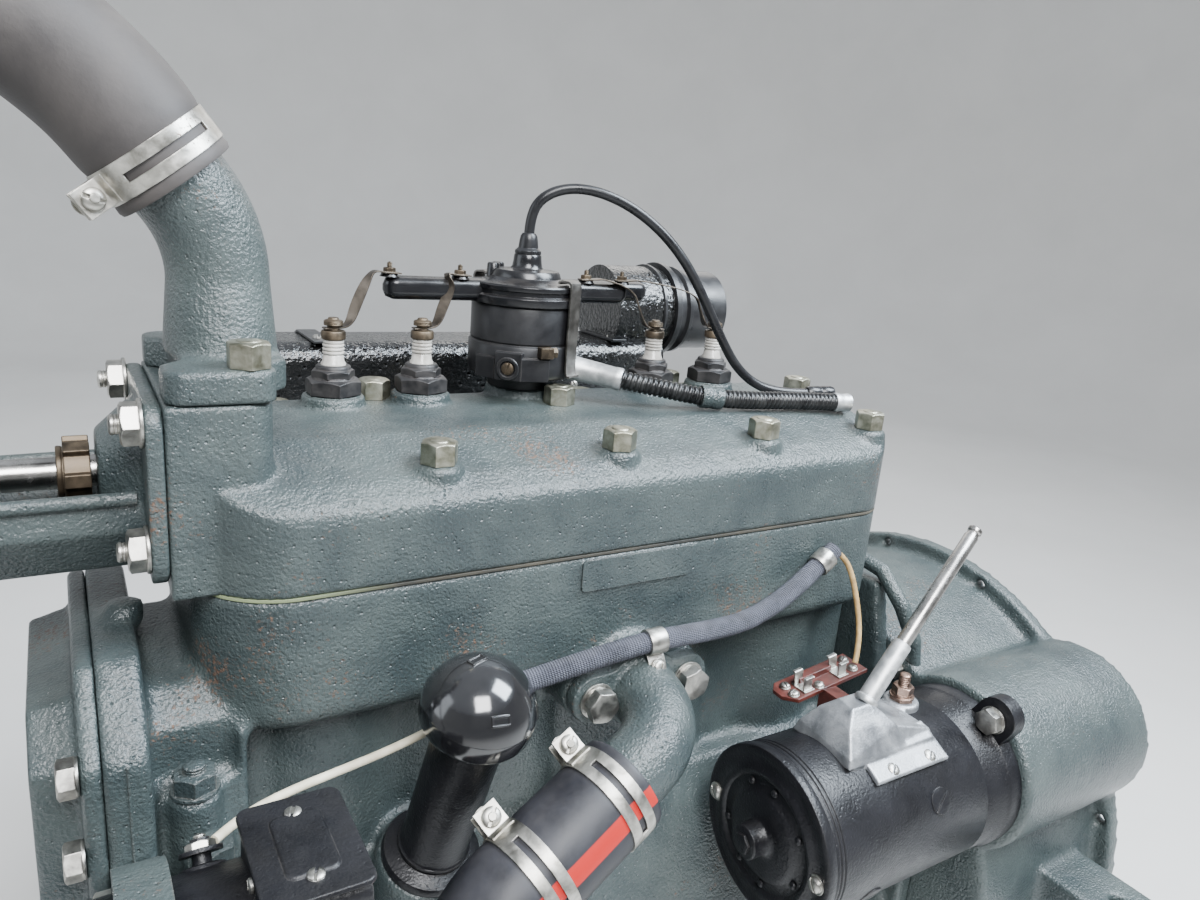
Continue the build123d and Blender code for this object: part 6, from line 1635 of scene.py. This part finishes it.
class ENGINE_OT_hardware(Operator):
    """Adds the small bolts, straps and fittings low down and on the right-hand side."""

    bl_idname = "engine.hardware"
    bl_label = "Small Hardware"

    def execute(self, context):
        sump = Form()
        for side in (-1, 1):
            for k in range(9):
                x = -664 + 62 * k
                sump.lathe([(0, 0), (7.4, 0), (7.6, 0.4), (7.4, 1.4), (0, 1.4)],
                    (x, side * 131, -38), DOWN, 28)
                sump.hexagon((x, side * 131, -39.3), DOWN, 11, 5.2, about_z(k))
        sump.lathe([(0, 0), (17, 0), (17.4, 0.6), (17, 2), (0, 2)], (-357, 0, -195.6), DOWN, 40)
        sump.done("sump_bolts", "bright_plate", bevel=0.25)
        bead = Form()
        for side in (-1, 1):
            bead.sweep([(-650, side * 121.6, -46), (-400, side * 121.6, -46),
                (-190, side * 121.6, -46)], 2.4, up=UP, sides=16)
        bead.done("sump_beads", "engine_paint")

        cover = Form()
        for x in (-515, -315):
            cover.lathe([(0, 0), (9.6, 0), (10, 0.5), (9.4, 1.8), (0, 1.8)],
                        (x, 119, 159), RIGHT, 36)
            cover.hexagon((x, 120.6, 159), RIGHT, 16, 8, (1, 0, 0.3))
            cover.stud((x, 128.4, 159), RIGHT, 4.2, 5)
        cover.done("valve_cover_nuts", "bright_plate", bevel=0.3)
        ports = Form()
        for x in (-577, -469, -361, -253):
            for dx in (-20.5, 20.5):
                ports.hexagon((x + dx, 127, 267), RIGHT, 13, 8, (1, 0, 0.2))
                ports.stud((x + dx, 134.8, 267), RIGHT, 3.8, 5)
        for dx in (-30, 30):
            ports.hexagon((-421 + dx, 144, 197), UP, 12, 6.5)
            ports.stud((-421 + dx, 144, 203.2), UP, 3.4, 4.4)
            ports.hexagon((-421 + dx, 144, 180), DOWN, 12, 5)
        for k in range(4):
            a = math.pi / 2 * k + 0.6
            ports.slotted((-457 + 25 * math.cos(a), 152 + 25 * math.sin(a), 149), UP, 3.6, 2.2,
                (math.sin(a), 1, 0))
        ports.done("manifold_nuts", "bright_plate", bevel=0.25)
        carb = Form()
        carb.lathe([(31, 30), (32, 30), (32.6, 31), (32.6, 36), (32, 37), (31, 37)],
            (-457, 152, 105), UP, 60)
        carb.lathe([(20, 0), (21.6, 0), (22, 1), (22, 3.4), (21.4, 4.6), (20, 4.8)],
            (-364.5, 144, 105), AFT, 52)
        carb.lathe([(21, 0), (22.6, 0.8), (22.8, 4), (21, 5)], (-421, 144, 118), UP, 52)
        carb.lathe([(0, 0), (5, 0), (5, 14), (3, 16), (0, 16)], (-421, 164, 150), RIGHT, 28)
        carb.hexagon((-421, 180, 150), RIGHT, 9, 4)
        carb.prism(capsule(34, 10), (-412, 176, 158), RIGHT, 2.4, (0.5, 0, 0.86))
        carb.hexagon((-457, 152, 98), DOWN, 18, 6)
        carb.done("carburettor_fittings", "black_iron", bevel=0.4)

        box = Form()
        for x in HEATER_STRAPS:
            box.sweep([(x, 131, 388.2), (x, 184, 388.2), (x, 194.5, 384.2), (x, 199, 374),
                (x, 199, 318)], oblong(14, 1.8), up=(0, 0.6, 0.8))
        box.lathe([(37, 0), (39, 0.6), (39, 3), (37, 3.6)], (-260, 164, 411), AFT, 72)
        box.done("heater_straps", "duct_black", bevel=0.3)
        screws = Form()
        for x in HEATER_STRAPS:
            screws.hexagon((x, 199.6, 326), RIGHT, 10, 4.6)
            screws.slotted((x, 145, 388.9), UP, 4.2, 2.6, (0.3, 1, 0))
        for k in range(6):
            screws.slotted((-590 + k * 62, 130.2, 352), LEFT, 3.4, 2.2, (math.cos(k), 0, 1))
        screws.done("heater_screws", "bright_plate", bevel=0.2)

        clutch = Form()
        for k in range(6):
            clutch.hexagon(ring_point(-98, 137, math.pi / 3 * k + 0.5), AFT, 13, 6)
        clutch.done("clutch_bolts", "bright_plate", (), "crank", bevel=0.25)
        joints = Form()
        for degrees in (35, 62, 90, 118, 200, 222, 318, 340):
            joints.hexagon(ring_point(-154.8, 186, math.radians(degrees)), FORE, 15, 7)
        joints.done("housing_bolts", "bright_plate", bevel=0.3)
        return {"FINISHED"}


class ENGINE_PT_dressing(Panel):
    """Lists the steps and their settings in the sidebar."""

    bl_label = "Engine Dressing"
    bl_idname = "ENGINE_PT_dressing"
    bl_space_type = "VIEW_3D"
    bl_region_type = "UI"
    bl_category = "Engine"

    def draw(self, context):
        for name, group in SETTINGS.items():
            box = self.layout.box()
            settings = getattr(context.scene, name)
            for key in group.__annotations__:
                box.prop(settings, key)
        for step in STEPS:
            self.layout.operator(step.bl_idname)


STEPS = [ENGINE_OT_stage, ENGINE_OT_cords, ENGINE_OT_castings, ENGINE_OT_fasteners,
         ENGINE_OT_ignition, ENGINE_OT_hoses, ENGINE_OT_filler, ENGINE_OT_starter, ENGINE_OT_clips,
         ENGINE_OT_marks, ENGINE_OT_drive, ENGINE_OT_hardware]


def register():
    """Registers the settings, steps and panel."""
    for name, group in SETTINGS.items():
        bpy.utils.register_class(group)
        setattr(bpy.types.Scene, name, PointerProperty(type=group))
    for step in STEPS + [ENGINE_PT_dressing]:
        bpy.utils.register_class(step)


def unregister():
    """Takes the settings, steps and panel away again."""
    for step in reversed(STEPS + [ENGINE_PT_dressing]):
        bpy.utils.unregister_class(step)
    for name, group in reversed(SETTINGS.items()):
        delattr(bpy.types.Scene, name)
        bpy.utils.unregister_class(group)


def main():
    register()
    for step in STEPS:
        family, action = step.bl_idname.split(".")
        getattr(getattr(bpy.ops, family), action)()
    keep_nodes()


if __name__ == "__main__":
    main()
